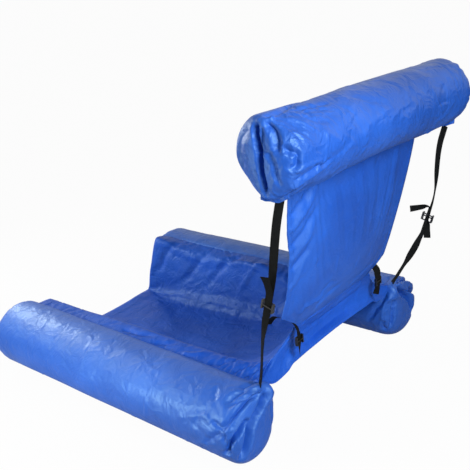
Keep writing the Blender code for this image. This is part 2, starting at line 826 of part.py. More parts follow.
def add_head_tab(side, cover, backrest):
    """The folded cloth tab below the head tube that holds a side strap's top."""
    frame = head_frame() @ Matrix.Translation((sign_of(side) * HANG_HALF_SPAN, HANG_BEHIND, 0.0))
    up = frame.to_3x3() @ Vector((0.0, 0.0, 1.0))
    builder = bmesh.new()
    rows = []
    for i in range(TAB_STEPS + 1):
        y = TAB_WIDTH * (i / TAB_STEPS - 0.5)
        top = 0.0
        for x in (-TAB_THICKNESS / 2, TAB_THICKNESS / 2):
            below = frame @ Vector((x, y, -2 * HEAD_RADIUS))
            top = max(top, 2 * HEAD_RADIUS - cover.ray_cast(below, up)[3] + 2 * GAP)
        taper = 1.0 - 0.35 * (2 * i / TAB_STEPS - 1) ** 2
        low = HEAD_RADIUS + GAP + TAB_DEPTH * taper
        ring = []
        for x, z in ((-1, -top), (1, -top), (1, -low), (-1, -low)):
            ring.append(builder.verts.new(frame @ Vector((x * TAB_THICKNESS / 2, y, z))))
        rows.append(ring)
    bridge_rings(builder, rows)
    builder.faces.new(rows[0])
    builder.faces.new(rows[-1])
    bmesh.ops.recalc_face_normals(builder, faces=builder.faces)
    add_object(side + "_head_tab", builder, "blue_nylon_dark", backrest, smooth=False)


def band(points, width, thickness):
    """Webbing along points, its width along the chair's X."""
    builder = bmesh.new()
    rings = []
    for i, p in enumerate(points):
        ahead = points[min(i + 1, len(points) - 1)]
        behind = points[max(i - 1, 0)]
        run = (ahead - behind).normalized()
        normal = Vector((1, 0, 0)).cross(run).normalized()
        ring = []
        for a, b in ((-1, -1), (1, -1), (1, 1), (-1, 1)):
            offset = Vector((a * width / 2, 0, 0)) + normal * (b * thickness / 2)
            ring.append(builder.verts.new(p + offset))
        rings.append(ring)
    bridge_rings(builder, rings)
    builder.faces.new(rings[0])
    builder.faces.new(rings[-1])
    bmesh.ops.recalc_face_normals(builder, faces=builder.faces)
    return builder


def add_corner_strap(side, base, sling_mesh):
    """A short strap from the sling's wall over its rear corner, with its buckle and tail."""
    tree = BVHTree.FromBMesh(sling_mesh)
    sign = sign_of(side)
    x = sign * (CREST_HALF + CORNER_STRAP_OFFSET)
    start_y = CREST_BEHIND - CORNER_STRAP_REACH
    highest = -1.0
    for edge in (-1, 0, 1):
        above = Vector((x + edge * STRAP_WIDTH / 2, start_y, CREST_HEIGHT * 2))
        hit = tree.ray_cast(above, Vector((0, 0, -1)))[0]
        highest = max(highest, hit.z)
    crest = CREST_HEIGHT + CORNER_STRAP_RISE
    hang_y = CREST_BEHIND + CORNER_STRAP_BACK
    lift = STRAP_THICKNESS / 2 + GAP + CORNER_STRAP_LIFT
    route = [Vector((x, start_y, highest + lift))]
    route += [Vector((x, CREST_BEHIND + back, crest - drop)) for back, drop in CORNER_ROUTE]
    route.append(Vector((x, hang_y, crest - CORNER_TAIL)))
    steps = CORNER_STRAP_STEPS
    points = [smooth_through(route, i / steps) for i in range(steps + 1)]
    webbing = band(points, STRAP_WIDTH, STRAP_THICKNESS)
    add_object(side + "_corner_strap", webbing, "black_webbing", base, smooth=False)
    centre = Vector((x, hang_y, crest - CORNER_BUCKLE_DROP))
    frame = Matrix.Translation(centre) @ Matrix.Rotation(math.radians(90), 4, "Z")
    buckle = buckle_outline(frame, STRAP_WIDTH / 2 + GAP * 2, STRAP_THICKNESS, 1.0)
    add_object(side + "_corner_buckle", buckle, "black_plastic", base, smooth=False)


def centre_on_origin(chair):
    """Move the whole chair along Y until its box is centred over the origin."""
    bpy.context.view_layer.update()
    ys = []
    for obj in bpy.data.objects:
        if obj.type == "MESH":
            ys += [(obj.matrix_world @ v.co).y for v in obj.data.vertices]
    chair.location.y -= (min(ys) + max(ys)) / 2


def build():
    """Make the whole chair."""
    clear_scene()
    chair = add_empty("chair", (0.0, 0.0, 0.0), None)
    base = add_empty("base", (0.0, 0.0, 0.0), chair)
    hinge = (0.0, CREST_BEHIND, CREST_HEIGHT)
    backrest = add_empty("backrest_hinge", hinge, chair)
    arms = {}
    for side in SIDES:
        along = -(ARM_LENGTH / 2 - ANCHOR_FROM_END)
        peak = (along, anchor_turn(side))
        frame = arm_frame(side)
        arms[side] = add_tube(side + "_arm", frame, ARM_LENGTH, ARM_RADIUS, base, True, peak)
    flipped = head_frame() @ Matrix.Rotation(math.pi, 4, "Z")
    head = add_tube("head", flipped, HEAD_LENGTH, HEAD_RADIUS, backrest, False, None)
    sling = sheet(sling_grid(), CLOTH)
    for side in SIDES:
        add_corner_strap(side, base, sling)
    add_object("seat_sling", sling, "blue_nylon", base)
    add_object("back_panel", sheet(panel_grid(), CLOTH), "blue_nylon", backrest)
    for side in SIDES:
        add_side_straps(side, arms[side], base, backrest)
        add_head_tab(side, head, backrest)
    centre_on_origin(chair)


build()
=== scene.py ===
"""Looks of the inflatable pool chair: nylon covers, sling, back panel and webbing.

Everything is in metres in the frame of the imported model: +Z up, -Y the front, where
the sitter's feet go, and +X the sitter's left.
"""

import math

import bmesh
import bpy
import numpy as np
from mathutils import Matrix, Vector


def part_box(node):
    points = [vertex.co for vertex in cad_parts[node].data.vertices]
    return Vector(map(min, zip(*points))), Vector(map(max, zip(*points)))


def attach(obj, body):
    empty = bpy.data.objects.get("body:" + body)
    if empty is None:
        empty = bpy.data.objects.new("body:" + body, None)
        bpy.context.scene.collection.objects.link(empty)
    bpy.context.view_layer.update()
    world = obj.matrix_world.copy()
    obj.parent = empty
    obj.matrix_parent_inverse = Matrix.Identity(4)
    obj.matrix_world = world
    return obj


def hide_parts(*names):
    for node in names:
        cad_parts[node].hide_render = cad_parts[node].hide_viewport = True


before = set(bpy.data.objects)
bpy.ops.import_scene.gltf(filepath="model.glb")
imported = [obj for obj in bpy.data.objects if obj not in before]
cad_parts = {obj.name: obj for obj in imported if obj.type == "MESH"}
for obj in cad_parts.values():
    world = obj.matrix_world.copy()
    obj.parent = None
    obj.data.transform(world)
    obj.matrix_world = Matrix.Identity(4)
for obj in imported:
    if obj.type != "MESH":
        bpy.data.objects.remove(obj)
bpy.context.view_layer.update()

# Camera, at the photograph's viewing angle
CAMERA_PLACE = (1.57012, 1.51267, 1.26235)
CAMERA_YAW = math.radians(227.4927)
CAMERA_PITCH = math.radians(21.2429)
CAMERA_ROLL = math.radians(-6.431)
CAMERA_LENS = 57.49
CAMERA_SENSOR = 36.0

# Arm tubes, from their nodes' boxes
ARM_LOW, ARM_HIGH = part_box("left_arm_cover")
ARM_RADIUS = 0.100
ARM_FLAT_DEPTH = 0.0005
ARM_LENGTH = ARM_HIGH.y - ARM_LOW.y
ARM_X = (ARM_HIGH.x + ARM_LOW.x) / 2
ARM_MIDDLE_Y = (ARM_HIGH.y + ARM_LOW.y) / 2
ARM_AXIS_Z = ARM_RADIUS - ARM_FLAT_DEPTH
SEAM_PULL = 0.011

# Head tube, from its node's box and its lean
HEAD_LOW, HEAD_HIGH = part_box("head_cover")
HEAD_CENTRE = (HEAD_LOW + HEAD_HIGH) / 2
HEAD_RADIUS = 0.0907
HEAD_LENGTH = 0.828
HEAD_ROLL = math.radians(1.8)
HEAD_YAW = math.radians(-0.8)

# Tube ends, with their gathers: degrees round the tube from its underside, and how deep
# the end is rounded there, as a share of END_ROUNDING
END_ROUNDING = 0.050
END_SQUARENESS = 3.2
COVER_HOLE = 0.0095
GATHER_REACH = 0.12
POLE_RADIUS = 0.022
POLE_RINGS = (0.6, 0.3, 0.12)
ARM_GATHERED = (
    (0, 1.3), (45, 1.0), (90, 0.9), (135, 0.9), (180, 0.5), (205, 0.10), (220, 0.20), (245, 1.2),
    (270, 1.8), (305, 1.8), (335, 1.5), (360, 1.3),
)
HEAD_GATHERED = (
    (0, 0.20), (25, 1.0), (50, 1.75), (90, 1.15), (135, 1.20), (180, 0.35), (225, 1.10),
    (270, 1.20), (315, 0.95), (360, 0.20),
)
BLADDER_INSET = 0.0060
BLADDER_END_INSET = 0.036
BLADDER_END_REACH = 0.100

# Fineness of the cloth meshes
TUBE_AROUND = 136
BLADDER_AROUND = 96
VALVE_RINGS = 16
FACE_RINGS = 26
BODY_RINGS = 108
SLING_ROWS = 190
SLING_COLUMNS = 170
CREST_ROW = round(0.75 * (SLING_ROWS - 1))
PANEL_ROWS = 110
PANEL_COLUMNS = 130

# Cloth simulation: the pressure, about how far a point may move, the frames, the spare
# cloth, and how much of a cover's far end swells
CLOTH_STIFFNESS = 12.0
CLOTH_BENDING = 0.05
SWELL_PRESSURE = 1.4
SWELL_CAP = 0.011
SWELL_FRAMES = 20
SWELL_SLACK = 0.035
SWELL_REACH = 0.31
SLING_PRESSURE = -0.6
SLING_CAP = 0.008
SLING_FRAMES = 14
SLING_SLACK = 0.012
PANEL_CAP = 0.010
PANEL_FRAMES = 14
PANEL_SLACK = 0.005

# What the simulation holds: cloth near the ground, a cover near its pole, in a deep fold or
# away from its far end
HELD_HEIGHT = 0.012
HELD_POLE = 0.014
HELD_FOLD = 0.008
HELD_FROM = 0.22
HELD_FADE = 0.08
GROUND_CLEARANCE = 0.0004

# Folds: how far one acts, in widths, and the share of its path over which it begins
CREASE_REACH = 4.5
CREASE_START = 0.12


def linear(hex_colour):
    """An sRGB hex colour as linear RGBA."""
    parts = [int(hex_colour[i : i + 2], 16) / 255 for i in (1, 3, 5)]
    return tuple(c / 12.92 if c <= 0.04045 else ((c + 0.055) / 1.055) ** 2.4 for c in parts) + (1.0,)


def ease(t):
    """Smooth step from 0 to 1, on numbers or arrays."""
    t = np.clip(t, 0.0, 1.0)
    return t * t * (3 - 2 * t)


def lattice(ix, iy, iz, seed):
    """A repeatable number from -1 to 1 at each whole place of a 3-D lattice."""
    mask = 0xFFFFFFFF
    h = (ix * 374761393 + iy * 668265263 + iz * 1440670441 + seed * 1274126177) & mask
    h = ((h ^ (h >> 13)) * 1103515245) & mask
    h = ((h ^ (h >> 16)) * 668265263) & mask
    return ((h ^ (h >> 15)) & 0xFFFF) / 32767.5 - 1.0


def swell(points, seed):
    """Smooth noise from -1 to 1 at points given in lattice steps."""
    points = np.asarray(points, float)
    whole = np.floor(points).astype(np.int64)
    part = points - whole
    part = part * part * part * (part * (part * 6 - 15) + 10)
    total = 0.0
    for dx in (0, 1):
        for dy in (0, 1):
            for dz in (0, 1):
                weight = (
                    np.where(dx, part[..., 0], 1 - part[..., 0])
                    * np.where(dy, part[..., 1], 1 - part[..., 1])
                    * np.where(dz, part[..., 2], 1 - part[..., 2])
                )
                value = lattice(whole[..., 0] + dx, whole[..., 1] + dy, whole[..., 2] + dz, seed)
                total = total + weight * value
    return total


def grid_normals(grid, closed=False):
    """Unit normals of a grid of points, from its neighbours' differences."""
    down = np.gradient(grid, axis=0)
    if closed:
        across = (np.roll(grid, -1, axis=1) - np.roll(grid, 1, axis=1)) / 2
    else:
        across = np.gradient(grid, axis=1)
    normal = np.cross(down, across)
    return normal / np.maximum(np.linalg.norm(normal, axis=2, keepdims=True), 1e-12)


def pchip(xs, values, x):
    """Monotone cubic through rows of values at xs, read at the places x."""
    xs = np.asarray(xs, float)
    values = np.asarray(values, float)
    x = np.asarray(x, float)
    flat = values.reshape(len(xs), -1)
    steps = np.diff(flat, axis=0) / np.diff(xs)[:, None]
    slopes = np.zeros_like(flat)
    slopes[0], slopes[-1] = steps[0], steps[-1]
    product = steps[:-1] * steps[1:]
    total = steps[:-1] + steps[1:]
    safe = np.where(np.abs(total) > 1e-12, total, 1.0)
    slopes[1:-1] = np.where(product > 0, 2 * product / safe, 0.0)
    i = np.clip(np.searchsorted(xs, x, side="right") - 1, 0, len(xs) - 2)
    width = (xs[i + 1] - xs[i])[:, None]
    t = np.clip((x - xs[i])[:, None] / width, 0, 1)
    a = (2 * t**3 - 3 * t**2 + 1) * flat[i] + (3 * t**2 - 2 * t**3) * flat[i + 1]
    b = (t**3 - 2 * t**2 + t) * slopes[i] + (t**3 - t**2) * slopes[i + 1]
    return (a + b * width).reshape((len(x),) + values.shape[1:])


def run_lengths(points):
    """Distance along a row of points from its first."""
    steps = np.linalg.norm(np.diff(points, axis=0), axis=-1)
    return np.concatenate([[0.0], np.cumsum(steps)])


def crease(points, path, depth, width, shoulder=None, tail=0.45):
    """Relief of one fold along a path: a valley with flat sides, which fades at its ends.

    Where a shoulder is given, the valley is rounded and its sides rise by that share.
    """
    path = np.asarray(path, float)
    flat = points.reshape(-1, 3)
    total = np.zeros(len(flat))
    reach = CREASE_REACH * width
    near = ((flat > path.min(axis=0) - reach) & (flat < path.max(axis=0) + reach)).all(axis=1)
    spots = flat[near]
    best = np.full(len(spots), 1e9)
    along = np.zeros(len(spots))
    lengths = run_lengths(path)
    for i in range(len(path) - 1):
        run = path[i + 1] - path[i]
        span = max(np.linalg.norm(run), 1e-9)
        t = np.clip(((spots - path[i]) @ run) / span**2, 0, 1)
        gap = np.linalg.norm(spots - (path[i] + t[:, None] * run), axis=1)
        closer = gap < best
        best = np.where(closer, gap, best)
        along = np.where(closer, (lengths[i] + t * span) / max(lengths[-1], 1e-9), along)
    fade = ease(along / CREASE_START) * ease((1 - along) / tail)
    if shoulder is None:
        total[near] = -depth * fade * np.clip(1 - best / width, 0, 1)
    else:
        valley = -np.exp(-((best / width) ** 1.1))
        rim = shoulder * np.exp(-(((best - 2.0 * width) / width) ** 2))
        total[near] = depth * fade * (valley + rim)
    return total.reshape(points.shape[:-1])


def mesh_object(name, verts, faces, uvs=None):
    """One mesh object at the origin, with UVs per corner where they are given."""
    mesh = bpy.data.meshes.new(name)
    mesh.from_pydata([tuple(v) for v in verts], [], [tuple(int(i) for i in f) for f in faces])
    if uvs is not None:
        layer = mesh.uv_layers.new(name="cloth")
        corner = np.array([loop.vertex_index for loop in mesh.loops])
        layer.data.foreach_set("uv", np.asarray(uvs, np.float32)[corner].ravel())
    mesh.update()
    obj = bpy.data.objects.new(name, mesh)
    bpy.context.collection.objects.link(obj)
    mesh.shade_smooth()
    return obj


def finish(obj, body, material, replaced=()):
    """Material, slot, replaced nodes and body of one finished piece."""
    obj.data.materials.clear()
    obj.data.materials.append(material)
    if replaced:
        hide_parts(*replaced)
    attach(obj, body)
    return obj


def add_node(tree, kind, inputs=None, **settings):
    """A node with its settings, and its inputs set to values or linked to sockets."""
    made = tree.nodes.new(kind)
    for name, value in settings.items():
        setattr(made, name, value)
    for name, value in (inputs or {}).items():
        socket = made.inputs[name]
        if isinstance(value, bpy.types.NodeSocket):
            tree.links.new(value, socket)
        else:
            socket.default_value = value
    return made


def new_material(name, **values):
    """A material with a Principled shader whose sockets take the given values."""
    material = bpy.data.materials.new(name)
    material.use_nodes = True
    tree = material.node_tree
    shader = tree.nodes["Principled BSDF"]
    for socket, value in values.items():
        shader.inputs[socket.replace("_", " ")].default_value = value
    return material, tree, shader


# Patterns of the finishes, as repeats in a metre
TONE_PATCHES = 5.0  # one in 200 mm
SLACK_PATCHES = 8.0  # one in 125 mm
SHEEN_PATCHES = 9.0  # one in 110 mm
CRINKLES = 17.0  # one in 60 mm
RUMPLES = 70.0  # one in 14 mm
WEBBING_TONES = 90.0  # one in 11 mm
THREAD_TONES = 220.0  # one in 4.5 mm
MOULDED_GRAINS = 300.0  # one in 3.3 mm
WEAVE_STEP = 0.0014
RIB_STEP = 0.0016


def band_scale(step):
    """A wave texture's scale for bands that lie a step apart."""
    return math.pi / (10 * step)


def set_stops(ramp, stops):
    """Put (position, colour) stops on a colour ramp, lowest first."""
    elements = ramp.color_ramp.elements
    elements[0].position, elements[0].color = stops[0]
    elements[1].position, elements[1].color = stops[-1]
    for position, colour in stops[1:-1]:
        elements.new(position).color = colour


def coated_nylon(name, deep, mid, light, crinkle, gloss):
    """Polyurethane-coated nylon taffeta, woven and rolled: a satin sheen over fine crinkles.

    Real threads lie 0.25 mm apart, too fine to show, so the weave is drawn at 1.4 mm.
    """
    material, tree, shader = new_material(
        name, Specular_IOR_Level=gloss, Specular_Tint=(0.52, 0.90, 1.0, 1.0), IOR=1.5
    )
    place = add_node(tree, "ShaderNodeTexCoord").outputs["Object"]
    cloth = add_node(tree, "ShaderNodeUVMap", uv_map="cloth").outputs["UV"]
    patterns = {
        "tone": {"Scale": TONE_PATCHES, "Detail": 3.0, "Roughness": 0.55},
        "slack": {"Scale": SLACK_PATCHES, "Detail": 2.0, "Roughness": 0.5, "Distortion": 0.5},
        "sheen": {"Scale": SHEEN_PATCHES, "Detail": 2.0},
        "crinkle": {"Scale": CRINKLES, "Detail": 3.0, "Roughness": 0.5, "Distortion": 0.7},
        "rumple": {"Scale": RUMPLES, "Detail": 2.0, "Distortion": 0.4},
    }
    noise = {
        key: add_node(tree, "ShaderNodeTexNoise", {"Vector": place, **inputs}).outputs["Fac"]
        for key, inputs in patterns.items()
    }
    ramp = add_node(tree, "ShaderNodeValToRGB", {"Fac": noise["tone"]})
    set_stops(ramp, ((0.32, linear(deep)), (0.5, linear(mid)), (0.70, linear(light))))
    tree.links.new(ramp.outputs["Color"], shader.inputs["Base Color"])
    sheen = {"Value": noise["sheen"], "To Min": 0.38, "To Max": 0.52}
    spread = add_node(tree, "ShaderNodeMapRange", sheen)
    tree.links.new(spread.outputs["Result"], shader.inputs["Roughness"])
    ridge = add_node(tree, "ShaderNodeMath", {0: noise["crinkle"], 1: 0.5}, operation="SUBTRACT")
    ridge = add_node(tree, "ShaderNodeMath", {0: ridge.outputs[0]}, operation="ABSOLUTE")
    threads = [
        add_node(
            tree,
            "ShaderNodeTexWave",
            {"Vector": cloth, "Scale": band_scale(WEAVE_STEP), "Distortion": 0.3},
            bands_direction=direction,
        ).outputs["Fac"]
        for direction in ("X", "Y")
    ]
    weave = add_node(tree, "ShaderNodeMath", {0: threads[0], 1: threads[1]}, operation="MULTIPLY")
    # Height, strength, depth in metres, and whether its low lines stand up as ridges
    layers = (
        (noise["slack"], crinkle * 0.35, 0.05, False),
        (ridge.outputs[0], crinkle, 0.016, True),
        (noise["rumple"], 0.6, 0.0016, False),
        (weave.outputs[0], 0.12, 0.0003, False),
    )
    below = {}
    for height, strength, distance, raised in layers:
        inputs = {"Height": height, "Strength": strength, "Distance": distance, **below}
        bump = add_node(tree, "ShaderNodeBump", inputs, invert=raised)
        below = {"Normal": bump.outputs["Normal"]}
    tree.links.new(below["Normal"], shader.inputs["Normal"])
    return material


def mottle(tree, shader, scale, dark, pale):
    """Colour that wavers between two tones with a fine noise, and that noise."""
    place = add_node(tree, "ShaderNodeTexCoord").outputs["Object"]
    inputs = {"Vector": place, "Scale": scale, "Detail": 2.0}
    tone = add_node(tree, "ShaderNodeTexNoise", inputs).outputs["Fac"]
    ramp = add_node(tree, "ShaderNodeValToRGB", {"Fac": tone})
    set_stops(ramp, ((0.0, dark), (1.0, pale)))
    tree.links.new(ramp.outputs["Color"], shader.inputs["Base Color"])
    return tone


def webbing_material():
    """Black polypropylene webbing, woven: matt, with ribs across it every 1.6 mm."""
    material, tree, shader = new_material("woven_webbing", Roughness=0.80, Specular_IOR_Level=0.10)
    mottle(tree, shader, WEBBING_TONES, linear("#090a0a"), linear("#151717"))
    ribs = add_node(
        tree,
        "ShaderNodeTexWave",
        {
            "Vector": add_node(tree, "ShaderNodeUVMap", uv_map="cloth").outputs["UV"],
            "Scale": band_scale(RIB_STEP),
            "Distortion": 0.5,
        },
        bands_direction="Y",
    )
    inputs = {"Height": ribs.outputs["Fac"], "Strength": 0.6, "Distance": 0.0004}
    bump = add_node(tree, "ShaderNodeBump", inputs)
    tree.links.new(bump.outputs["Normal"], shader.inputs["Normal"])
    return material


def moulded_plastic(name, colour, roughness):
    """Injection-moulded plastic: an even colour with a faint moulded grain."""
    material, tree, shader = new_material(name, Roughness=roughness)
    base = linear(colour)[:3]
    dark = tuple(c * 0.85 for c in base) + (1.0,)
    pale = tuple(min(1.0, c * 1.12) for c in base) + (1.0,)
    grain = mottle(tree, shader, MOULDED_GRAINS, dark, pale)
    bump = add_node(tree, "ShaderNodeBump", {"Height": grain, "Strength": 0.2, "Distance": 0.0002})
    tree.links.new(bump.outputs["Normal"], shader.inputs["Normal"])
    return material


def thread_material():
    """Spun polyester sewing thread, a little paler than the cloth it sinks into."""
    material, tree, shader = new_material("polyester_thread", Roughness=0.6, Specular_IOR_Level=0.2)
    mottle(tree, shader, THREAD_TONES, linear("#1d4692"), linear("#3a6cc4"))
    return material


class Tube:
    """One inflated tube: its axes, its radius and length, and the shape of its gathered end.

    A turn is an angle round the tube from its underside. gathered gives, for turns in
    degrees, how deep the far end is rounded there, as a share of END_ROUNDING.
    """

    def __init__(self, centre, along, up, radius, length, gathered, hand=1.0):
        self.centre = np.array(centre, float)
        self.along = np.array(along, float)
        self.up = np.array(up, float)
        self.side = np.cross(self.up, self.along)
        self.radius = radius
        self.length = length
        self.gathered = np.array(gathered, float)
        self.hand = hand

    def profile(self, radius, half):
        """Places along the tube and radii, from the valve hole to the far end.

        The rings crowd towards the far end, and their steps change gently.
        """
        power = 2 / END_SQUARENESS
        start = math.asin((COVER_HOLE / radius) ** (1 / power))
        valve = start + (math.pi / 2 - start) * np.linspace(0, 1, VALVE_RINGS)
        far = (math.pi / 2) * np.linspace(1, 0, FACE_RINGS + 1)[:-1]
        far = np.concatenate([far, far[-1] * np.array(POLE_RINGS)])
        step = np.linspace(0, 1, BODY_RINGS + 2)[1:-1]
        body = step + 0.5 * np.sin(math.pi * step) / math.pi * (step - 1) * -0.6 + 0.28 * step * (1 - step)
        first, last = half - END_ROUNDING, END_ROUNDING - half
        s = [half - END_ROUNDING * (1 - np.cos(valve).clip(0) ** power)]
        s += [first + (last - first) * body, END_ROUNDING * (1 - np.cos(far).clip(0) ** power) - half]
        r = [radius * np.sin(valve) ** power, np.full(len(body), radius), radius * np.sin(far) ** power]
        s, r = np.concatenate(s), np.concatenate(r)
        plain = run_lengths(np.stack([s, r], axis=1))
        run = plain
        for _ in range(3):
            run = np.concatenate([run[:1], (run[:-2] + 2 * run[1:-1] + run[2:]) / 4, run[-1:]])
        return np.interp(run, plain, s), np.interp(run, plain, r), run

    def points(self, s, r, turn):
        """Points in the chair's frame at places, radii and turns from the tube's underside."""
        return (
            self.centre
            + s[..., None] * self.along
            + (r * np.sin(turn))[..., None] * self.side
            - (r * np.cos(turn))[..., None] * self.up
        )

    def spot(self, outward_angle, from_end, share=1.0):
        """A point by degrees from the top towards the outer side, and metres from the far end."""
        turn = math.pi - self.hand * math.radians(outward_angle)
        s = np.array(from_end - self.length / 2)
        return self.points(s, np.array(self.radius * share), np.array(turn))

    def grid(self, around=TUBE_AROUND, inset=0.0):
        """The tube's smooth surface as a closed grid: points, places, radii and run."""
        s, r, run = self.profile(self.radius - inset, self.length / 2 - inset)
        turn = 2 * math.pi * (np.arange(around) + 0.5) / around
        depth = pchip(self.gathered[:, 0], self.gathered[:, 1:], np.degrees(turn))[:, 0]
        if self.hand < 0:
            depth = depth[::-1]
        s2, t2 = np.meshgrid(s, turn, indexing="ij")
        r2 = np.repeat(r[:, None], around, axis=1)
        from_far = s2 + self.length / 2 - inset
        share = depth[None, :] + (1 - depth[None, :]) * ease(from_far / GATHER_REACH)
        near = np.exp(-((r2 / POLE_RADIUS) ** 2)) * (from_far < GATHER_REACH)
        share = share + (depth.mean() - depth)[None, :] * near
        s2 = from_far * share - self.length / 2 + inset
        return self.points(s2, r2, t2), s2, r2, run


def closed_tube(name, grid, run, radius):
    """A mesh from a tube's grid: open at the valve hole, closed at the far pole."""
    rings, around = grid.shape[:2]
    verts = np.concatenate([grid.reshape(-1, 3), [grid[-1].mean(axis=0)]])
    u = np.repeat((2 * math.pi * radius * np.arange(around) / around)[None, :], rings, axis=0)
    v = np.repeat(run[:, None], around, axis=1)
    uvs = np.concatenate([np.stack([u, v], axis=-1).reshape(-1, 2), [[0.0, run[-1]]]])
    i, k = np.meshgrid(np.arange(rings - 1), np.arange(around), indexing="ij")
    n = (k + 1) % around
    quads = np.stack([i * around + k, i * around + n, (i + 1) * around + n, (i + 1) * around + k], axis=-1)
    last = (rings - 1) * around
    faces = [tuple(q) for q in quads.reshape(-1, 4)]
    faces += [(last + k, last + (k + 1) % around, rings * around) for k in range(around)]
    return outward(mesh_object(name, verts, faces, uvs))


def outward(obj):
    """Turn a closed or nearly closed mesh's faces outwards."""
    work = bmesh.new()
    work.from_mesh(obj.data)
    bmesh.ops.recalc_face_normals(work, faces=work.faces)
    work.to_mesh(obj.data)
    work.free()
    obj.data.shade_smooth()
    return obj


def mesh_points(mesh):
    """The vertex places of a mesh as an array."""
    flat = np.empty(len(mesh.vertices) * 3, np.float32)
    mesh.vertices.foreach_get("co", flat)
    return flat.reshape(-1, 3).astype(float)


def place_points(mesh, points):
    """Put a mesh's vertices at the given places."""
    mesh.vertices.foreach_set("co", np.asarray(points, np.float32).ravel())
    mesh.update()


def bake_modifiers(obj):
    """Turn a piece's modifiers into its mesh."""
    seen = obj.evaluated_get(bpy.context.evaluated_depsgraph_get())
    mesh = bpy.data.meshes.new_from_object(seen)
    old = obj.data
    obj.modifiers.clear()
    obj.data = mesh
    bpy.data.meshes.remove(old)
    obj.data.name = obj.name


def relax(grid, held, cut, push, cap, frames, closed=False, weight=0.0):
    """Cloth simulation of a grid of points: it swells and crumples from its cut shape.

    Held points stay, and no point moves further than about cap.
    """
    rows, columns = grid.shape[:2]
    start = grid.reshape(-1, 3)
    i, k = np.meshgrid(np.arange(rows - 1), np.arange(columns - (not closed)), indexing="ij")
    n = (k + 1) % columns
    quads = np.stack([i * columns + k, i * columns + n, (i + 1) * columns + n, (i + 1) * columns + k], -1)
    obj = outward(mesh_object("trial", start, quads.reshape(-1, 4)))
    obj.shape_key_add(name="start")
    rest = obj.shape_key_add(name="cut")
    rest.data.foreach_set("co", np.asarray(cut, np.float32).ravel())
    rest.value = 0.0
    group = obj.vertex_groups.new(name="held")
    levels = np.round(np.clip(held, 0, 1).ravel() * 10) / 10
    for level in np.unique(levels):
        group.add([int(v) for v in np.flatnonzero(levels == level)], float(level), "REPLACE")
    cloth = obj.modifiers.new("cloth", "CLOTH")
    settings = cloth.settings
    settings.quality = 5
    settings.mass = 0.15
    settings.tension_stiffness = CLOTH_STIFFNESS
    settings.compression_stiffness = CLOTH_STIFFNESS
    settings.shear_stiffness = CLOTH_STIFFNESS / 3
    settings.bending_stiffness = CLOTH_BENDING
    settings.air_damping = 2.0
    settings.vertex_group_mass = "held"
    settings.rest_shape_key = rest
    settings.use_pressure = push != 0
    settings.uniform_pressure_force = push
    settings.effector_weights.gravity = weight
    cloth.collision_settings.use_collision = False
    cloth.point_cache.frame_start = 1
    cloth.point_cache.frame_end = frames
    for frame_number in range(1, frames + 1):
        bpy.context.scene.frame_set(frame_number)
    seen = obj.evaluated_get(bpy.context.evaluated_depsgraph_get())
    moved = mesh_points(seen.data) - start
    bpy.data.objects.remove(obj)
    bpy.context.scene.frame_set(1)
    far = np.linalg.norm(moved, axis=1, keepdims=True)
    moved = moved * (cap * np.tanh(far / cap) / np.maximum(far, 1e-9))
    return (start + moved).reshape(grid.shape)


def ring_puffs(turn, count, seed):
    """Soft swellings round a tube with sharp valleys between them, from -1 to 1."""
    size = count / (2 * math.pi)
    points = np.stack([np.cos(turn) * size, np.sin(turn) * size, np.zeros_like(turn)], -1)
    return 1.6 * np.abs(swell(points, seed)) ** 0.8 - 0.55


def fold_path(tube, surface, places, count=10):
    """Points of a fold on a surface, through (outward angle, metres from the end, share) places."""
    knots = np.array([tube.spot(*place) for place in places])
    run = run_lengths(knots)
    spots = pchip(run, knots, np.linspace(0, run[-1], count))
    flat = surface.reshape(-1, 3)
    return [flat[np.argmin(((flat - spot) ** 2).sum(axis=1))] for spot in spots]


def bent_path(tube, start, heading, length, bend, shares):
    """Points over a tube, at shares of a length, from a start (outward angle, metres from the end)."""
    path = []
    for t in shares:
        turned = heading + bend * t
        over = math.degrees(length * t * math.sin(turned) / tube.radius)
        path.append(tube.spot(start[0] + over, start[1] + length * t * math.cos(turned)))
    return path


def fan(tube, points, focus, aim, spread, count, reach, depth, width, seed):
    """Folds that fan out from a focus (outward angle, metres from the end) over a tube's side.

    aim and spread are degrees, from straight along the tube towards the outer side.
    """
    pick = np.random.default_rng(seed)
    total = np.zeros(points.shape[:-1])
    for i in range(count):
        heading = math.radians(aim + spread * (2 * (i + 0.5) / count - 1) + pick.uniform(-5, 5))
        length = reach * pick.uniform(0.4, 1.0)
        bend = pick.uniform(-0.3, 0.3)
        start = pick.uniform(0.06, 0.2)
        shares = [start + (1 - start) * step / 4 for step in range(5)]
        path = bent_path(tube, focus, heading, length, bend, shares)
        size = pick.uniform(0.45, 1.0)
        sign = 1.0 if pick.uniform() < 0.5 else -1.0
        total += sign * crease(points, path, depth * size, width * pick.uniform(0.7, 1.25))
    return total


def scattered_creases(tube, points, count, first, last, reach, depth, width, seed):
    """Short creases in many directions over a loose tube's side."""
    pick = np.random.default_rng(seed)
    total = np.zeros(points.shape[:-1])
    shares = [step / 3 for step in range(4)]
    for _ in range(count):
        start = (pick.uniform(-180, 180), pick.uniform(first, last))
        heading = pick.uniform(0, math.pi)
        length = reach * pick.uniform(0.35, 1.0)
        bend = pick.uniform(-0.5, 0.5)
        path = bent_path(tube, start, heading, length, bend, shares)
        sign = 1.0 if pick.uniform() < 0.5 else -1.0
        size = pick.uniform(0.4, 1.0)
        total += sign * crease(points, path, depth * size, width * pick.uniform(0.7, 1.3))
    return total


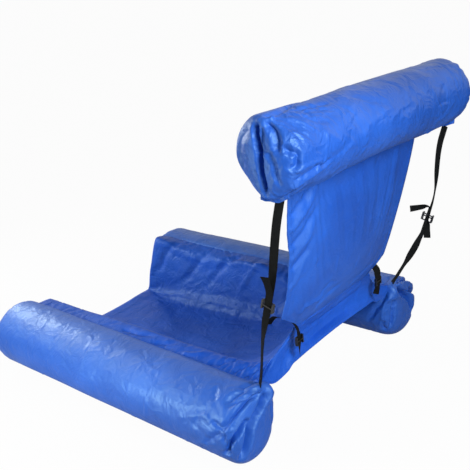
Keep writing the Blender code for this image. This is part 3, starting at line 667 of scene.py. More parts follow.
# Folds of the arm covers' rear ends: (places, depth, width), each place an angle from the
# top towards the outer side, metres from the end, and a share of the radius where not 1
ARM_ANCHOR = (-31, 0.014)
ARM_SEAM = -31
ARM_SEAM_WIDTH = 22
ANCHOR_PEAK = 0.020
ANCHOR_PEAK_WIDTH = 0.027
PUCKER_DEPTH = 0.0030
ARM_FOLDS = (
    (
        ((-34, 0.010, 0.98), (-25, 0.002, 0.91), (-12, 0.001, 0.62), (22, 0.001, 0.40),
         (70, 0.001, 0.40), (112, 0.003, 0.57), (128, 0.020, 0.97)),
        0.0360, 0.015,
    ),
    (
        ((28, 0.003, 0.62), (52, 0.004, 0.66), (68, 0.007, 0.77), (83, 0.015, 0.91),
         (102, 0.031, 0.99), (112, 0.055)),
        0.0240, 0.010,
    ),
    (((-34, 0.030), (-17, 0.047), (1, 0.049), (20, 0.055), (34, 0.070)), 0.0130, 0.009),
    (((-22, 0.012, 0.98), (-9, 0.018), (7, 0.022, 0.99), (17, 0.034), (36, 0.056)), 0.0130, 0.008),
    (
        ((-10, 0.008, 0.95), (4, 0.014, 0.96), (22, 0.017, 0.94), (36, 0.021, 0.96), (57, 0.035),
         (74, 0.058)),
        0.0140, 0.009,
    ),
    (((4, 0.025), (25, 0.014, 0.91)), 0.0060, 0.006),
    (((78, 0.200), (65, 0.146), (57, 0.101), (72, 0.084)), -0.0035, 0.012),
    (((10, 0.118), (32, 0.096)), 0.0040, 0.006),
    (((58, 0.078), (68, 0.040), (92, 0.029, 0.99)), 0.0080, 0.008),
    (((72, 0.044), (58, 0.014, 0.92)), -0.0050, 0.008),
    (((102, 0.104), (78, 0.060), (68, 0.040)), 0.0090, 0.010),
    (((40, 0.100), (62, 0.130), (86, 0.120)), 0.0025, 0.014),
    (((120, 0.150), (100, 0.110), (92, 0.060)), -0.0040, 0.012),
    (((-38, 0.020), (-70, 0.045), (-108, 0.085)), 0.0100, 0.010),
    (((-44, 0.000, 0.85), (-84, 0.000, 0.70), (-128, 0.008, 0.92)), 0.0130, 0.010),
    (((-42, 0.010, 0.97), (-66, 0.026), (-92, 0.028), (-122, 0.052)), -0.0060, 0.009),
    (((-40, 0.045), (-62, 0.100), (-76, 0.160)), 0.0060, 0.010),
    (((-96, 0.020), (-112, 0.030), (-130, 0.022)), 0.0080, 0.009),
)


def pleats(tube, points, folds):
    """Relief of flat-sided folds on a tube: where two valleys meet, the deeper one is kept."""
    low = high = np.zeros(points.shape[:-1])
    for places, depth, width in folds:
        height = crease(points, fold_path(tube, points, places, 14), depth, width, tail=0.25)
        low, high = (np.minimum(low, height), high) if depth > 0 else (low, np.maximum(high, height))
    return low + high


def valve_puckers(tube, s, r, turn, count, reach, seed):
    """Small puckers round a tube's valve end."""
    from_valve = tube.length / 2 - s
    height = PUCKER_DEPTH * ring_puffs(turn, count, seed) * np.exp(-((from_valve / reach) ** 2))
    return height * ease((r - 0.012) / 0.03)


def arm_shape(tube, seed):
    """Large relief of an arm cover: the deep fold at its rear end and the pull of its strap."""

    def relief(points, s):
        height = pleats(tube, points, ARM_FOLDS)
        pull = np.linalg.norm(points - tube.spot(*ARM_ANCHOR), axis=-1)
        height += ANCHOR_PEAK * np.exp(-((pull / ANCHOR_PEAK_WIDTH) ** 1.5))
        offset = points - tube.centre
        angle = np.degrees(np.arctan2(offset @ tube.side, offset @ tube.up)) * tube.hand
        seam = np.exp(-np.abs((angle - ARM_SEAM) / ARM_SEAM_WIDTH) ** 1.3)
        height += SEAM_PULL * seam * ease((s + tube.length / 2) / 0.05)
        return height + 0.0016 * swell(points * np.array([12.0, 6.0, 12.0]), seed)

    return relief


# Folds of the head cover's near end, as above; the outer side is the front
HEAD_FOLDS = (
    (
        ((1, 0.005, 0.90), (9, 0.002, 0.66), (9, 0.000, 0.40), (4, 0.000, 0.13),
         (-179, 0.000, 0.19), (-176, 0.000, 0.46), (-176, 0.000, 0.75), (-178, 0.006, 0.95)),
        0.0320, 0.010,
    ),
    (
        ((-9, 0.005, 0.83), (-7, 0.002, 0.66), (-15, 0.000, 0.34), (-75, 0.001, 0.34),
         (-115, 0.002, 0.46), (-144, 0.010, 0.83)),
        0.0090, 0.008,
    ),
    (
        ((-8, 0.008, 0.90), (-22, 0.008, 0.83), (-36, 0.007, 0.76), (-60, 0.003, 0.58),
         (-80, 0.003, 0.55)),
        0.0130, 0.013,
    ),
    (((-14, 0.020, 0.97), (-28, 0.045), (-42, 0.050), (-52, 0.036)), 0.0070, 0.020),
    (((-10, 0.030), (-15, 0.060), (-22, 0.086), (-38, 0.084), (-52, 0.070)), -0.0040, 0.010),
    (
        ((-60, 0.006, 0.70), (-72, 0.010, 0.78), (-82, 0.022, 0.93), (-93, 0.020, 0.90),
         (-108, 0.009, 0.77)),
        0.0090, 0.010,
    ),
    (((-8, 0.006, 0.94), (-4, 0.065), (7, 0.122), (15, 0.185), (22, 0.260)), 0.0140, 0.011),
    (
        ((-112, 0.006, 0.70), (-104, 0.022, 0.93), (-99, 0.048), (-101, 0.100), (-104, 0.150)),
        -0.0040, 0.008,
    ),
    (((-128, 0.010, 0.88), (-114, 0.036), (-108, 0.080), (-104, 0.140), (-96, 0.200)), 0.0070, 0.009),
    (
        ((-142, 0.012, 0.90), (-131, 0.024, 0.96), (-121, 0.051), (-115, 0.090), (-101, 0.170),
         (-94, 0.240)),
        -0.0050, 0.009,
    ),
    (((-28, 0.088), (-46, 0.115), (-54, 0.160)), 0.0045, 0.010),
    (((2, 0.105), (-22, 0.117), (-46, 0.113)), 0.0040, 0.009),
    (((20, 0.000, 0.85), (70, 0.000, 0.75), (130, 0.000, 0.85)), 0.0050, 0.016),
    (((-20, 0.280), (-44, 0.330), (-60, 0.400)), 0.0030, 0.014),
    (((-90, 0.250), (-70, 0.330), (-66, 0.420)), -0.0030, 0.014),
)


def head_shape(tube, seed):
    """Large relief of the head cover: its gathered slit, and the folds that fan from it."""

    def relief(points, s):
        height = pleats(tube, points, HEAD_FOLDS)
        return height + 0.0030 * swell(points * np.array([7.0, 12.0, 12.0]), seed)

    return relief


# Puckers round the covers' valve ends: how many, and how far they reach
ARM_PUCKERS = (26, 0.035)
HEAD_PUCKERS = (24, 0.040)

# Small folds of the covers: folds that fan from the strap or the slit, and scattered creases
ARM_SMALL_FOLDS = (
    (fan, dict(focus=ARM_ANCHOR, aim=40, spread=40, count=9, reach=0.170, depth=0.0026, width=0.0080)),
    (scattered_creases, dict(count=22, first=0.02, last=0.26, reach=0.07, depth=0.0012, width=0.0080)),
    (scattered_creases, dict(count=60, first=0.05, last=1.05, reach=0.12, depth=0.0012, width=0.0070)),
)
HEAD_SMALL_FOLDS = (
    (fan, dict(focus=(-4, 0.004), aim=-38, spread=42, count=11, reach=0.260, depth=0.0032, width=0.0075)),
    (fan, dict(focus=(-176, 0.010), aim=35, spread=40, count=10, reach=0.280, depth=0.0032, width=0.0075)),
    (scattered_creases, dict(count=90, first=0.08, last=0.80, reach=0.16, depth=0.0024, width=0.0085)),
)


def cover_creases(tube, puckers, small_folds, seed):
    """Fine relief of a cover: puckers at its valve end, and small folds."""

    def relief(points, s, r, turn):
        height = valve_puckers(tube, s, r, turn, *puckers, seed + 1)
        for i, (make, values) in enumerate(small_folds):
            height += make(tube, points, seed=seed + 3 + i, **values)
        return height

    return relief


def add_cover(name, tube, shape, creases, body, material, film):
    """The cover of one tube, and the bladder inside it."""
    grid, s, r, run = tube.grid()
    height = shape(grid, s)
    start = grid + grid_normals(grid, closed=True) * height[..., None]
    start[..., 2] = np.maximum(start[..., 2], GROUND_CLEARANCE)
    from_far = s + tube.length / 2
    held = np.where(r < HELD_POLE, 1.0, np.clip(-height / HELD_FOLD, 0, 1))
    held = np.maximum(held, ease((from_far - HELD_FROM) / HELD_FADE))
    held = np.where(grid[..., 2] < HELD_HEIGHT, 1.0, held)
    slack = SWELL_SLACK * np.exp(-((from_far / 0.13) ** 2)) + 0.01
    middle = tube.centre + s[..., None] * tube.along
    cut = middle + (start - middle) * (1 + slack[..., None]) + (s * slack * 0.8)[..., None] * tube.along
    first = int(np.argmax(from_far[:, 0] < SWELL_REACH))
    start[first:] = relax(
        start[first:], held[first:], cut[first:], SWELL_PRESSURE, SWELL_CAP, SWELL_FRAMES, closed=True
    )
    cover = closed_tube(name + "_cover_cloth", start, run, tube.radius)
    finer = cover.modifiers.new("finer", "SUBSURF")
    finer.levels = finer.render_levels = 1
    bake_modifiers(cover)
    points = mesh_points(cover.data)
    normals = np.empty(len(points) * 3, np.float32)
    cover.data.vertices.foreach_get("normal", normals)
    offset = points - tube.centre
    across, above = offset @ tube.side, offset @ tube.up
    turn = np.arctan2(across, -above)
    height = creases(points, offset @ tube.along, np.hypot(across, above), turn)
    points = points + normals.reshape(-1, 3) * height[:, None]
    points[:, 2] = np.maximum(points[:, 2], 0.0)
    place_points(cover.data, points)
    finish(cover, body, material, [name + "_cover"])
    grid, s, r, run = tube.grid(BLADDER_AROUND, BLADDER_INSET)
    shrink = BLADDER_END_INSET * np.exp(-(((s + tube.length / 2) / BLADDER_END_REACH) ** 2))
    grid = grid - grid_normals(grid, closed=True) * shrink[..., None]
    bladder = closed_tube(name + "_bladder_film", grid, run, tube.radius)
    finish(bladder, body, film, [name + "_bladder"])
    return cover


def sheet_object(name, grid, thickness):
    """A closed cloth round a grid of points, with UVs in metres; thickness may vary over it."""
    normal = grid_normals(grid)
    half = np.broadcast_to(np.asarray(thickness) / 2, grid.shape[:2])[..., None]
    rows, columns = grid.shape[:2]
    u = np.zeros((rows, columns))
    v = np.zeros((rows, columns))
    u[:, 1:] = np.cumsum(np.linalg.norm(np.diff(grid, axis=1), axis=2), axis=1)
    u -= u.mean(axis=1, keepdims=True)
    v[1:, :] = np.cumsum(np.linalg.norm(np.diff(grid, axis=0), axis=2), axis=0)
    verts = np.concatenate([(grid + normal * half * t).reshape(-1, 3) for t in (1, -1)])
    uvs = np.tile(np.stack([u, v], axis=-1).reshape(-1, 2), (2, 1))
    back = rows * columns
    i, j = np.meshgrid(np.arange(rows - 1), np.arange(columns - 1), indexing="ij")
    a, b = i * columns + j, i * columns + j + 1
    c, d = (i + 1) * columns + j + 1, (i + 1) * columns + j
    front_faces = np.stack([a, d, c, b], axis=-1).reshape(-1, 4)
    back_faces = np.stack([a, b, c, d], axis=-1).reshape(-1, 4) + back
    edge = np.array(
        list(range(columns))
        + [i * columns + columns - 1 for i in range(1, rows)]
        + [(rows - 1) * columns + j for j in range(columns - 2, -1, -1)]
        + [i * columns for i in range(rows - 2, 0, -1)]
    )
    after = np.roll(edge, -1)
    rim = np.stack([edge, after, after + back, edge + back], axis=-1)
    faces = np.concatenate([front_faces, back_faces, rim])
    return outward(mesh_object(name, verts, faces, uvs))


# Seat sling, repeated from the solid's own stations, in the chair's frame
SEAT_SHIFT = ARM_MIDDLE_Y
SEAT_FRONT = -ARM_LENGTH / 2 + 0.0365
SEAT_REAR = ARM_LENGTH / 2 - 0.0315
CREST_BEHIND = ARM_LENGTH / 2 - 0.0065
LAST_RIDGE_Y = ARM_LENGTH / 2 - 0.0615
LAST_SEAM_Y = ARM_LENGTH / 2 - 0.056
CREST_HEIGHT = 0.312
FLOOR_CLEARANCE = 0.006
SEAM_HALF = 0.330
SEAM_SINK = 0.0035
RIDGE_HALF = 0.280
FLOOR_HALF = 0.190
CREST_HALF = 0.186
ARM_TOP = 2 * ARM_RADIUS - ARM_FLAT_DEPTH
WALL_SHARE = 0.55
WALL_SAG = 0.006

# The peak that a side strap pulls up on its arm cover
ANCHOR_Y = ARM_LENGTH / 2 - 0.019
ANCHOR_INSET = 0.042
ANCHOR_SPREAD = 0.028
ANCHOR_RISE = 0.012

# From the front to the crest: the share of the way back, the share of the crest's height,
# and how much higher the floor's edges lie
SEAT_PROFILE = (
    (0.000, 0.000, 0.006),
    (0.243, 0.013, 0.008),
    (0.485, 0.046, 0.012),
    (0.680, 0.157, 0.014),
    (0.835, 0.386, 0.010),
    (0.927, 0.706, 0.004),
)

# From the crest to the hem: how far the middle lies back and drops, how much wider the cloth
# is, how far its edge lies back and drops, and how far the ridge lies back and rises
REAR_FOLDS = (
    (0.000, 0.000, 0.000, 0.000, 0.000, -0.012, 0.0225),
    (-0.043, 0.072, 0.006, -0.018, 0.062, 0.000, 0.0045),
    (-0.012, 0.112, 0.014, -0.006, 0.112, 0.016, -0.0195),
)

# Ridges of the seat's walls: (place along the chair, height), and where each starts late
RIDGES = {
    "left": (
        (-0.60, 0.188), (-0.40, 0.192), (-0.235, 0.197), (0.0, 0.202), (0.17, 0.202), (0.30, 0.208),
        (0.40, 0.214),
    ),
    "right": (
        (-0.60, 0.203), (-0.43, 0.201), (-0.33, 0.168), (-0.26, 0.146), (-0.19, 0.166), (-0.10, 0.194),
        (-0.04, 0.172), (0.05, 0.153), (0.12, 0.178), (0.22, 0.201), (0.40, 0.203),
    ),
}
RIDGE_START = {"left": 0.040, "right": 0.0}


def arm_top(half_span, y):
    """Height of an arm cover's upper side, with the peak that the side strap pulls up."""
    across = ARM_X - half_span
    along = (y - ANCHOR_Y) / ANCHOR_SPREAD
    around = (across - ANCHOR_INSET) / ANCHOR_SPREAD
    radius = ARM_RADIUS + ANCHOR_RISE * math.exp(-(along * along) - around * around)
    return ARM_AXIS_Z + math.sqrt(radius**2 - across**2)


def sling_stations():
    """Stations from front to hem: floor, floor's edge, and the places of ridge and seam."""
    stations = []
    for back, up, rise in SEAT_PROFILE:
        y = SEAT_FRONT + (CREST_BEHIND - SEAT_FRONT) * back
        floor = FLOOR_CLEARANCE + (CREST_HEIGHT - FLOOR_CLEARANCE) * up
        edge = (FLOOR_HALF, y, floor + rise)
        stations.append(((y, floor), edge, min(y, LAST_RIDGE_Y), None, min(y, LAST_SEAM_Y)))
    for back, drop, wider, side_back, side_drop, ridge_back, ridge_rise in REAR_FOLDS:
        edge = (CREST_HALF + wider, CREST_BEHIND + side_back, CREST_HEIGHT - side_drop)
        ridge_y, seam_y = SEAT_REAR + ridge_back, SEAT_REAR + ridge_back / 2
        floor = (CREST_BEHIND + back, CREST_HEIGHT - drop)
        stations.append((floor, edge, ridge_y, ARM_TOP + ridge_rise, seam_y))
    return stations


def sling_controls():
    """Control points of the seat: stations from front to hem, each from left to right."""
    rows = []
    for (floor_y, floor_z), (edge_x, edge_y, edge_z), ridge_y, ridge_z, seam_y in sling_stations():
        middle = np.array([0.0, floor_y, floor_z])
        half = []
        for side, sign in (("left", 1.0), ("right", -1.0)):
            top = ridge_z
            if top is None:
                spots, heights = zip(*RIDGES[side])
                top = float(np.interp(ridge_y + SEAT_SHIFT, spots, heights))
            later = RIDGE_START[side] * max(0.0, 1 - (seam_y - SEAT_FRONT) / 0.3)
            seam_z = arm_top(SEAM_HALF, seam_y) + SEAM_PULL - SEAM_SINK
            seam = np.array([sign * SEAM_HALF, seam_y + later, seam_z])
            ridge = np.array([sign * RIDGE_HALF, ridge_y + later, top])
            edge = np.array([sign * edge_x, edge_y, edge_z])
            wall = ridge + (edge - ridge) * WALL_SHARE + np.array([-sign, 0.0, -0.7]) * WALL_SAG
            inner = (middle + edge) / 2 + np.array([sign * edge_x, 0.0, 0.0]) / 8
            half.append([seam, ridge, wall, edge, inner])
        rows.append(half[0] + [middle] + half[1][::-1])
    return np.array(rows)


def finer_grid(grid, rows, columns):
    """A grid drawn through a coarser one."""
    along = pchip(np.linspace(0, 1, grid.shape[0]), grid, np.linspace(0, 1, rows))
    across = pchip(np.linspace(0, 1, grid.shape[1]), along.swapaxes(0, 1), np.linspace(0, 1, columns))
    return across.swapaxes(0, 1)


def sling_surface(rows, columns):
    """The seat cloth's middle surface as a grid."""
    controls = sling_controls()
    stations, spots = controls.shape[:2]
    along = pchip(np.arange(stations), controls, np.linspace(0, stations - 1, rows))
    across = pchip(np.arange(spots), along.swapaxes(0, 1), np.linspace(0, spots - 1, columns))
    grid = across.swapaxes(0, 1)
    grid[..., 1] += SEAT_SHIFT
    return grid


# Thickness of a cloth, what its hems add, and how deep its stray creases are
CLOTH_THICKNESS = 0.0012
HEM_EXTRA = 0.0016
CREST_HEM_EXTRA = 0.0010
STRAY_DEPTH = 0.0020

# How many rows or columns of its grid each cloth's hem takes, and the column the seams run along
SLING_HEM = 5
PANEL_HEM = 4
TAB_HEM = 4
SEAM_COLUMN = 3


def grid_path(grid, places, count=8):
    """Points on a grid through (share down, share across) places."""
    places = np.array(places, float)
    run = run_lengths(places)
    spots = pchip(run, places, np.linspace(0, run[-1], count))
    rows, columns = grid.shape[:2]
    i = np.clip(np.round(spots[:, 0] * (rows - 1)), 0, rows - 1).astype(int)
    k = np.clip(np.round(spots[:, 1] * (columns - 1)), 0, columns - 1).astype(int)
    return grid[i, k]


def stray_crease(grid, pick, row, column, heading, reach, bend, width):
    """One short shallow crease of a sheet, up or down at random."""
    places = [
        (row + reach * t * math.sin(heading + bend * t), column + reach * t * math.cos(heading))
        for t in (0, 0.5, 1)
    ]
    size = STRAY_DEPTH * pick.uniform(0.4, 1.0) * (1 if pick.uniform() < 0.5 else -1)
    return crease(grid, grid_path(grid, places), size, width)


# Folds of the seat: (places, depth, width), each place a share of the way down from the front
# and a share of the way across from the left
SEAM_PUCKERS = 34
SLING_FOLDS = (
    (((0.30, 0.235), (0.52, 0.22), (0.72, 0.20), (0.80, 0.16)), -0.0060, 0.0180),
    (((0.22, 0.04), (0.27, 0.055), (0.31, 0.09)), 0.0060, 0.0110),
    (((0.30, 0.015), (0.33, 0.05), (0.36, 0.10)), 0.0060, 0.0110),
    (((0.38, 0.02), (0.42, 0.06), (0.44, 0.12)), -0.0055, 0.0100),
    (((0.46, 0.015), (0.50, 0.06), (0.53, 0.12)), 0.0065, 0.0110),
    (((0.62, 0.02), (0.66, 0.10), (0.74, 0.18)), 0.0075, 0.0120),
    (((0.68, 0.02), (0.72, 0.09), (0.78, 0.15)), 0.0075, 0.0110),
    (((0.55, 0.02), (0.58, 0.08), (0.60, 0.14)), 0.0060, 0.0100),
    (((0.74, 0.03), (0.77, 0.10), (0.80, 0.13)), 0.0070, 0.0110),
    (((0.06, 0.925), (0.03, 0.84), (0.01, 0.76)), 0.0090, 0.0200),
    (((0.14, 0.925), (0.11, 0.84), (0.07, 0.76)), 0.0085, 0.0180),
    (((0.21, 0.930), (0.17, 0.85), (0.14, 0.76)), 0.0090, 0.0200),
    (((0.28, 0.930), (0.25, 0.86), (0.22, 0.77)), -0.0070, 0.0160),
    (((0.34, 0.93), (0.36, 0.86), (0.34, 0.77)), 0.0080, 0.0180),
    (((0.48, 0.93), (0.45, 0.84), (0.44, 0.76)), -0.0070, 0.0160),
    (((0.58, 0.94), (0.56, 0.85), (0.52, 0.76)), 0.0080, 0.0180),
    (((0.02, 0.66), (0.10, 0.70), (0.20, 0.73), (0.32, 0.70), (0.42, 0.62)), -0.0065, 0.0280),
    (((0.10, 0.50), (0.35, 0.46), (0.60, 0.52)), 0.0035, 0.0250),
    (((0.18, 0.34), (0.42, 0.38), (0.66, 0.34)), -0.0035, 0.0220),
    (((0.40, 0.62), (0.56, 0.60), (0.74, 0.66)), 0.0040, 0.0220),
    (((0.66, 0.30), (0.76, 0.40), (0.82, 0.55)), 0.0045, 0.0180),
    (((0.805, 0.66), (0.825, 0.55), (0.825, 0.42), (0.800, 0.33)), 0.0100, 0.0180),
    (((0.93, 0.20), (0.94, 0.45), (0.93, 0.75)), 0.0045, 0.0120),
    (((0.87, 0.28), (0.885, 0.50), (0.87, 0.72)), -0.0040, 0.0110),
)


def add_sling(material):
    """The seat: one cloth with puckers along its seams and soft folds in its walls."""
    grid = sling_surface(SLING_ROWS // 2, SLING_COLUMNS // 2)
    rows, columns = grid.shape[:2]
    down = np.linspace(0, 1, rows)[:, None]
    over = np.linspace(0, 1, columns)[None, :]
    edge = np.minimum(over, 1 - over)
    held = np.maximum(edge < 0.125, (down < 0.01) | (down > 0.80)).astype(float)
    held = np.maximum(held, (grid[..., 2] < HELD_HEIGHT) * 1.0)
    middle = grid.mean(axis=(0, 1))
    cut = middle + (grid - middle) * (1 + SLING_SLACK)
    grid = relax(grid, held, cut, SLING_PRESSURE, SLING_CAP, SLING_FRAMES, weight=0.3)
    grid = finer_grid(grid, SLING_ROWS, SLING_COLUMNS)
    normal = grid_normals(grid)
    height = 0.0014 * swell(grid * np.array([14.0, 8.0, 14.0]), 40)
    pick = np.random.default_rng(41)
    for side in (0, 1):
        for i in range(SEAM_PUCKERS):
            row = 0.03 + 0.77 * (i + pick.uniform(0.1, 0.9)) / SEAM_PUCKERS
            reach = pick.uniform(0.06, 0.20)
            shift = pick.uniform(-0.03, 0.03)
            places = [(row, abs(side - 0.004))]
            places += [(row + shift * 0.4, abs(side - reach / 2)), (row + shift, abs(side - reach))]
            strength = 0.0040 if side == 0 and i > 18 else 0.0026
            size = strength * pick.uniform(0.5, 1.0)
            height += crease(grid, grid_path(grid, places), size, 0.0042, shoulder=0.35)
    for places, depth, width in SLING_FOLDS:
        height += crease(grid, grid_path(grid, places, 12), depth, width)
    for _ in range(46):
        row, column = pick.uniform(0.05, 0.78), pick.uniform(0.16, 0.84)
        heading, reach = pick.uniform(0, math.pi), pick.uniform(0.04, 0.12)
        height += stray_crease(grid, pick, row, column, heading, reach, 0.5, 0.0085)
    height *= 1 - 0.9 * np.exp(-(((np.arange(SLING_ROWS) - CREST_ROW) / 4) ** 2))[:, None]
    grid = grid + normal * height[..., None]
    grid[..., 2] = np.maximum(grid[..., 2], 0.0012)
    hem = np.zeros(grid.shape[:2])
    hem[:SLING_HEM] = hem[-SLING_HEM:] = HEM_EXTRA
    sling = sheet_object("seat_sling_cloth", grid, CLOTH_THICKNESS + hem)
    finish(sling, "base", material, ["seat_sling"])
    return sling, grid


# Half width of the panel beyond the crest's, by share of its height
PANEL_OUTLINE = {
    "right": (
        (0.00, -0.003), (0.04, 0.010), (0.12, 0.050), (0.25, 0.061), (0.60, 0.082), (1.00, 0.107),
    ),
    "left": (
        (0.00, -0.003), (0.05, 0.020), (0.14, 0.078), (0.26, 0.062), (0.36, 0.060), (0.54, 0.063),
        (0.69, 0.084), (1.00, 0.107),
    ),
}
PANEL_SEAM_ANGLE = math.radians(16)
PANEL_BULGE = 0.024
PANEL_EDGE_BEND = 0.016
PANEL_EDGE_FROM = 0.62
CREST_CORNER = 0.008


def panel_top(head, cover, places):
    """How far the head cover's underside lies from its middle along the panel's seam, and which way."""
    down = np.array([0.0, -math.sin(PANEL_SEAM_ANGLE), 0.0]) - head.up * math.cos(PANEL_SEAM_ANGLE)
    cloth = mesh_points(cover.data) - head.centre
    cloth = cloth[cloth @ down > 0.8 * head.radius]
    reach = []
    for along in places:
        gap = np.linalg.norm(cloth - (down * head.radius - along * head.along), axis=1)
        close = cloth[gap < gap.min() + 0.004]
        off_axis = close - (close @ head.along)[:, None] * head.along
        reach.append(np.linalg.norm(off_axis, axis=1).mean() - 0.0010)
    return np.array(reach), down


def panel_surface(head, cover, seat_grid):
    """The back panel's middle surface, from the seat's crest up to the head cover's underside."""
    t = np.linspace(0, 1, PANEL_ROWS)
    u = np.linspace(-1, 1, PANEL_COLUMNS)
    right, left = (
        np.interp(t, *zip(*PANEL_OUTLINE[side]))[:, None] + CREST_HALF
        for side in ("right", "left")
    )
    x = np.where(u[None, :] < 0, right, left) * u[None, :]
    t2 = np.repeat(t[:, None], PANEL_COLUMNS, axis=1)
    u2 = np.repeat(u[None, :], PANEL_ROWS, axis=0)
    crest = seat_grid[CREST_ROW][::-1]
    on_crest = np.clip(x, CREST_CORNER - CREST_HALF, CREST_HALF - CREST_CORNER)
    low_y, low_z = (np.interp(on_crest, crest[:, 0], crest[:, k]) for k in (1, 2))
    low = np.stack([x, low_y, low_z + 0.0005], -1)
    reach, down = panel_top(head, cover, x[-1])
    high = head.centre - x[..., None] * head.along + down * reach[None, :, None]
    grid = low + (high - low) * t2[..., None]
    slope = np.sin(math.pi * t2)
    sheared = u2 + 0.5 * t2
    folds = swell(np.stack([sheared * 1.7, t2 * 0.9, 0 * t2 + 3.5], axis=-1), 64)
    grid[..., 1] -= PANEL_EDGE_BEND * ease((u2 - PANEL_EDGE_FROM) / (1 - PANEL_EDGE_FROM)) * slope**0.5
    grid[..., 1] += 0.004 * slope + PANEL_BULGE * slope**0.6 * (1 - u2**2) + 0.004 * folds * slope**0.7
    return grid, t2


# Folds of the back panel, as above: shares of the way up from the crest and across from the right
PANEL_FOLDS = (
    (((0.97, 0.90), (0.80, 0.88), (0.60, 0.90)), 0.0030, 0.0160),
    (((0.78, 0.995), (0.90, 0.88), (1.0, 0.78)), 0.0075, 0.0150),
    (((0.70, 0.995), (0.80, 0.90), (0.93, 0.81)), -0.0060, 0.0120),
    (((0.58, 0.995), (0.70, 0.89), (0.85, 0.79)), 0.0075, 0.0140),
    (((0.50, 0.995), (0.60, 0.91), (0.72, 0.83)), -0.0055, 0.0110),
    (((0.43, 0.995), (0.53, 0.91), (0.65, 0.84)), 0.0065, 0.0120),
    (((0.30, 0.995), (0.40, 0.94), (0.50, 0.90)), -0.0045, 0.0100),
    (((0.94, 0.66), (0.60, 0.60), (0.25, 0.56)), 0.0040, 0.0300),
    (((0.94, 0.50), (0.60, 0.45), (0.28, 0.44)), -0.0040, 0.0280),
    (((0.95, 0.34), (0.66, 0.30), (0.30, 0.30)), 0.0042, 0.0300),
    (((0.95, 0.16), (0.66, 0.16), (0.30, 0.18)), -0.0040, 0.0260),
    (((0.62, 0.80), (0.40, 0.72), (0.22, 0.60)), -0.0035, 0.0220),
    (((0.10, 0.92), (0.15, 0.78), (0.14, 0.62)), -0.0050, 0.0110),
    (((0.05, 0.80), (0.13, 0.66), (0.16, 0.50)), 0.0060, 0.0110),
    (((0.17, 0.74), (0.22, 0.66), (0.16, 0.58)), 0.0045, 0.0080),
    (((0.06, 0.40), (0.10, 0.26), (0.16, 0.12)), 0.0040, 0.0120),
)


def add_panel(head, cover, seat_grid, material):
    """The back panel: a hanging cloth with long soft folds, crumpled along its left edge."""
    grid, t2 = panel_surface(head, cover, seat_grid)
    held = ((t2 < 0.01) | (t2 > 0.99)).astype(float)
    middle = grid.mean(axis=(0, 1))
    cut = middle + (grid - middle) * (1 + PANEL_SLACK)
    grid = relax(grid, held, cut, 0.0, PANEL_CAP, PANEL_FRAMES, weight=0.5)
    normal = grid_normals(grid)
    height = 0.0015 * swell(grid * np.array([14.0, 8.0, 9.0]), 60)
    pick = np.random.default_rng(61)
    for places, depth, width in PANEL_FOLDS:
        height += crease(grid, grid_path(grid, places, 12), depth, width)
    for _ in range(24):
        row, column = pick.uniform(0.05, 0.95), pick.uniform(0.03, 0.99) ** 0.6
        heading, reach = pick.uniform(0.9, 2.2), pick.uniform(0.05, 0.16)
        height += stray_crease(grid, pick, row, column, heading, reach, 0.4, 0.0090)
    edge = ease(np.minimum(t2, 1 - t2) / 0.05)
    grid = grid + normal * (height * edge)[..., None]
    hem = np.zeros(grid.shape[:2])
    hem[:, :PANEL_HEM] = hem[:, -PANEL_HEM:] = HEM_EXTRA
    hem[:PANEL_HEM] = CREST_HEM_EXTRA
    panel = sheet_object("back_panel_cloth", grid, CLOTH_THICKNESS + hem)
    finish(panel, "backrest", material, ["back_panel"])
    return panel, grid


# Section of webbing, with bevelled edges: shares of its half width and half thickness
WEBBING_SECTION = (
    (-1, -0.55), (-0.8, -1), (0.8, -1), (1, -0.55), (1, 0.55), (0.8, 1), (-0.8, 1), (-1, 0.55),
)


def unit(rows):
    """Rows of vectors, each made 1 long."""
    return rows / np.linalg.norm(rows, axis=1, keepdims=True)


def ribbon(name, centres, wides, thickness):
    """Webbing: a flat band along points, each with its half width vector, and UVs in metres."""
    run = run_lengths(centres)
    normal = unit(np.cross(np.gradient(centres, axis=0), wides))
    count = len(WEBBING_SECTION)
    verts, uvs, faces = [], [], []
    for i, (centre, side) in enumerate(zip(centres, wides)):
        half = np.linalg.norm(side)
        crown = normal[i] * thickness / 2
        for across, thick in WEBBING_SECTION:
            verts.append(centre + side * across + crown * thick)
            uvs.append((half * across, run[i]))
    last = (len(centres) - 1) * count
    for first in range(0, last, count):
        for k in range(count):
            n = (k + 1) % count
            faces.append((first + k, first + n, first + count + n, first + count + k))
    faces.append(tuple(range(count)))
    faces.append(tuple(last + k for k in range(count)))
    obj = outward(mesh_object(name, verts, faces, uvs))
    obj.data.set_sharp_from_angle(angle=math.radians(40))
    return obj


STITCH_SIZES = {"Step": 0.0060, "Stitch Length": 0.0042, "Thread Thickness": 0.0008}


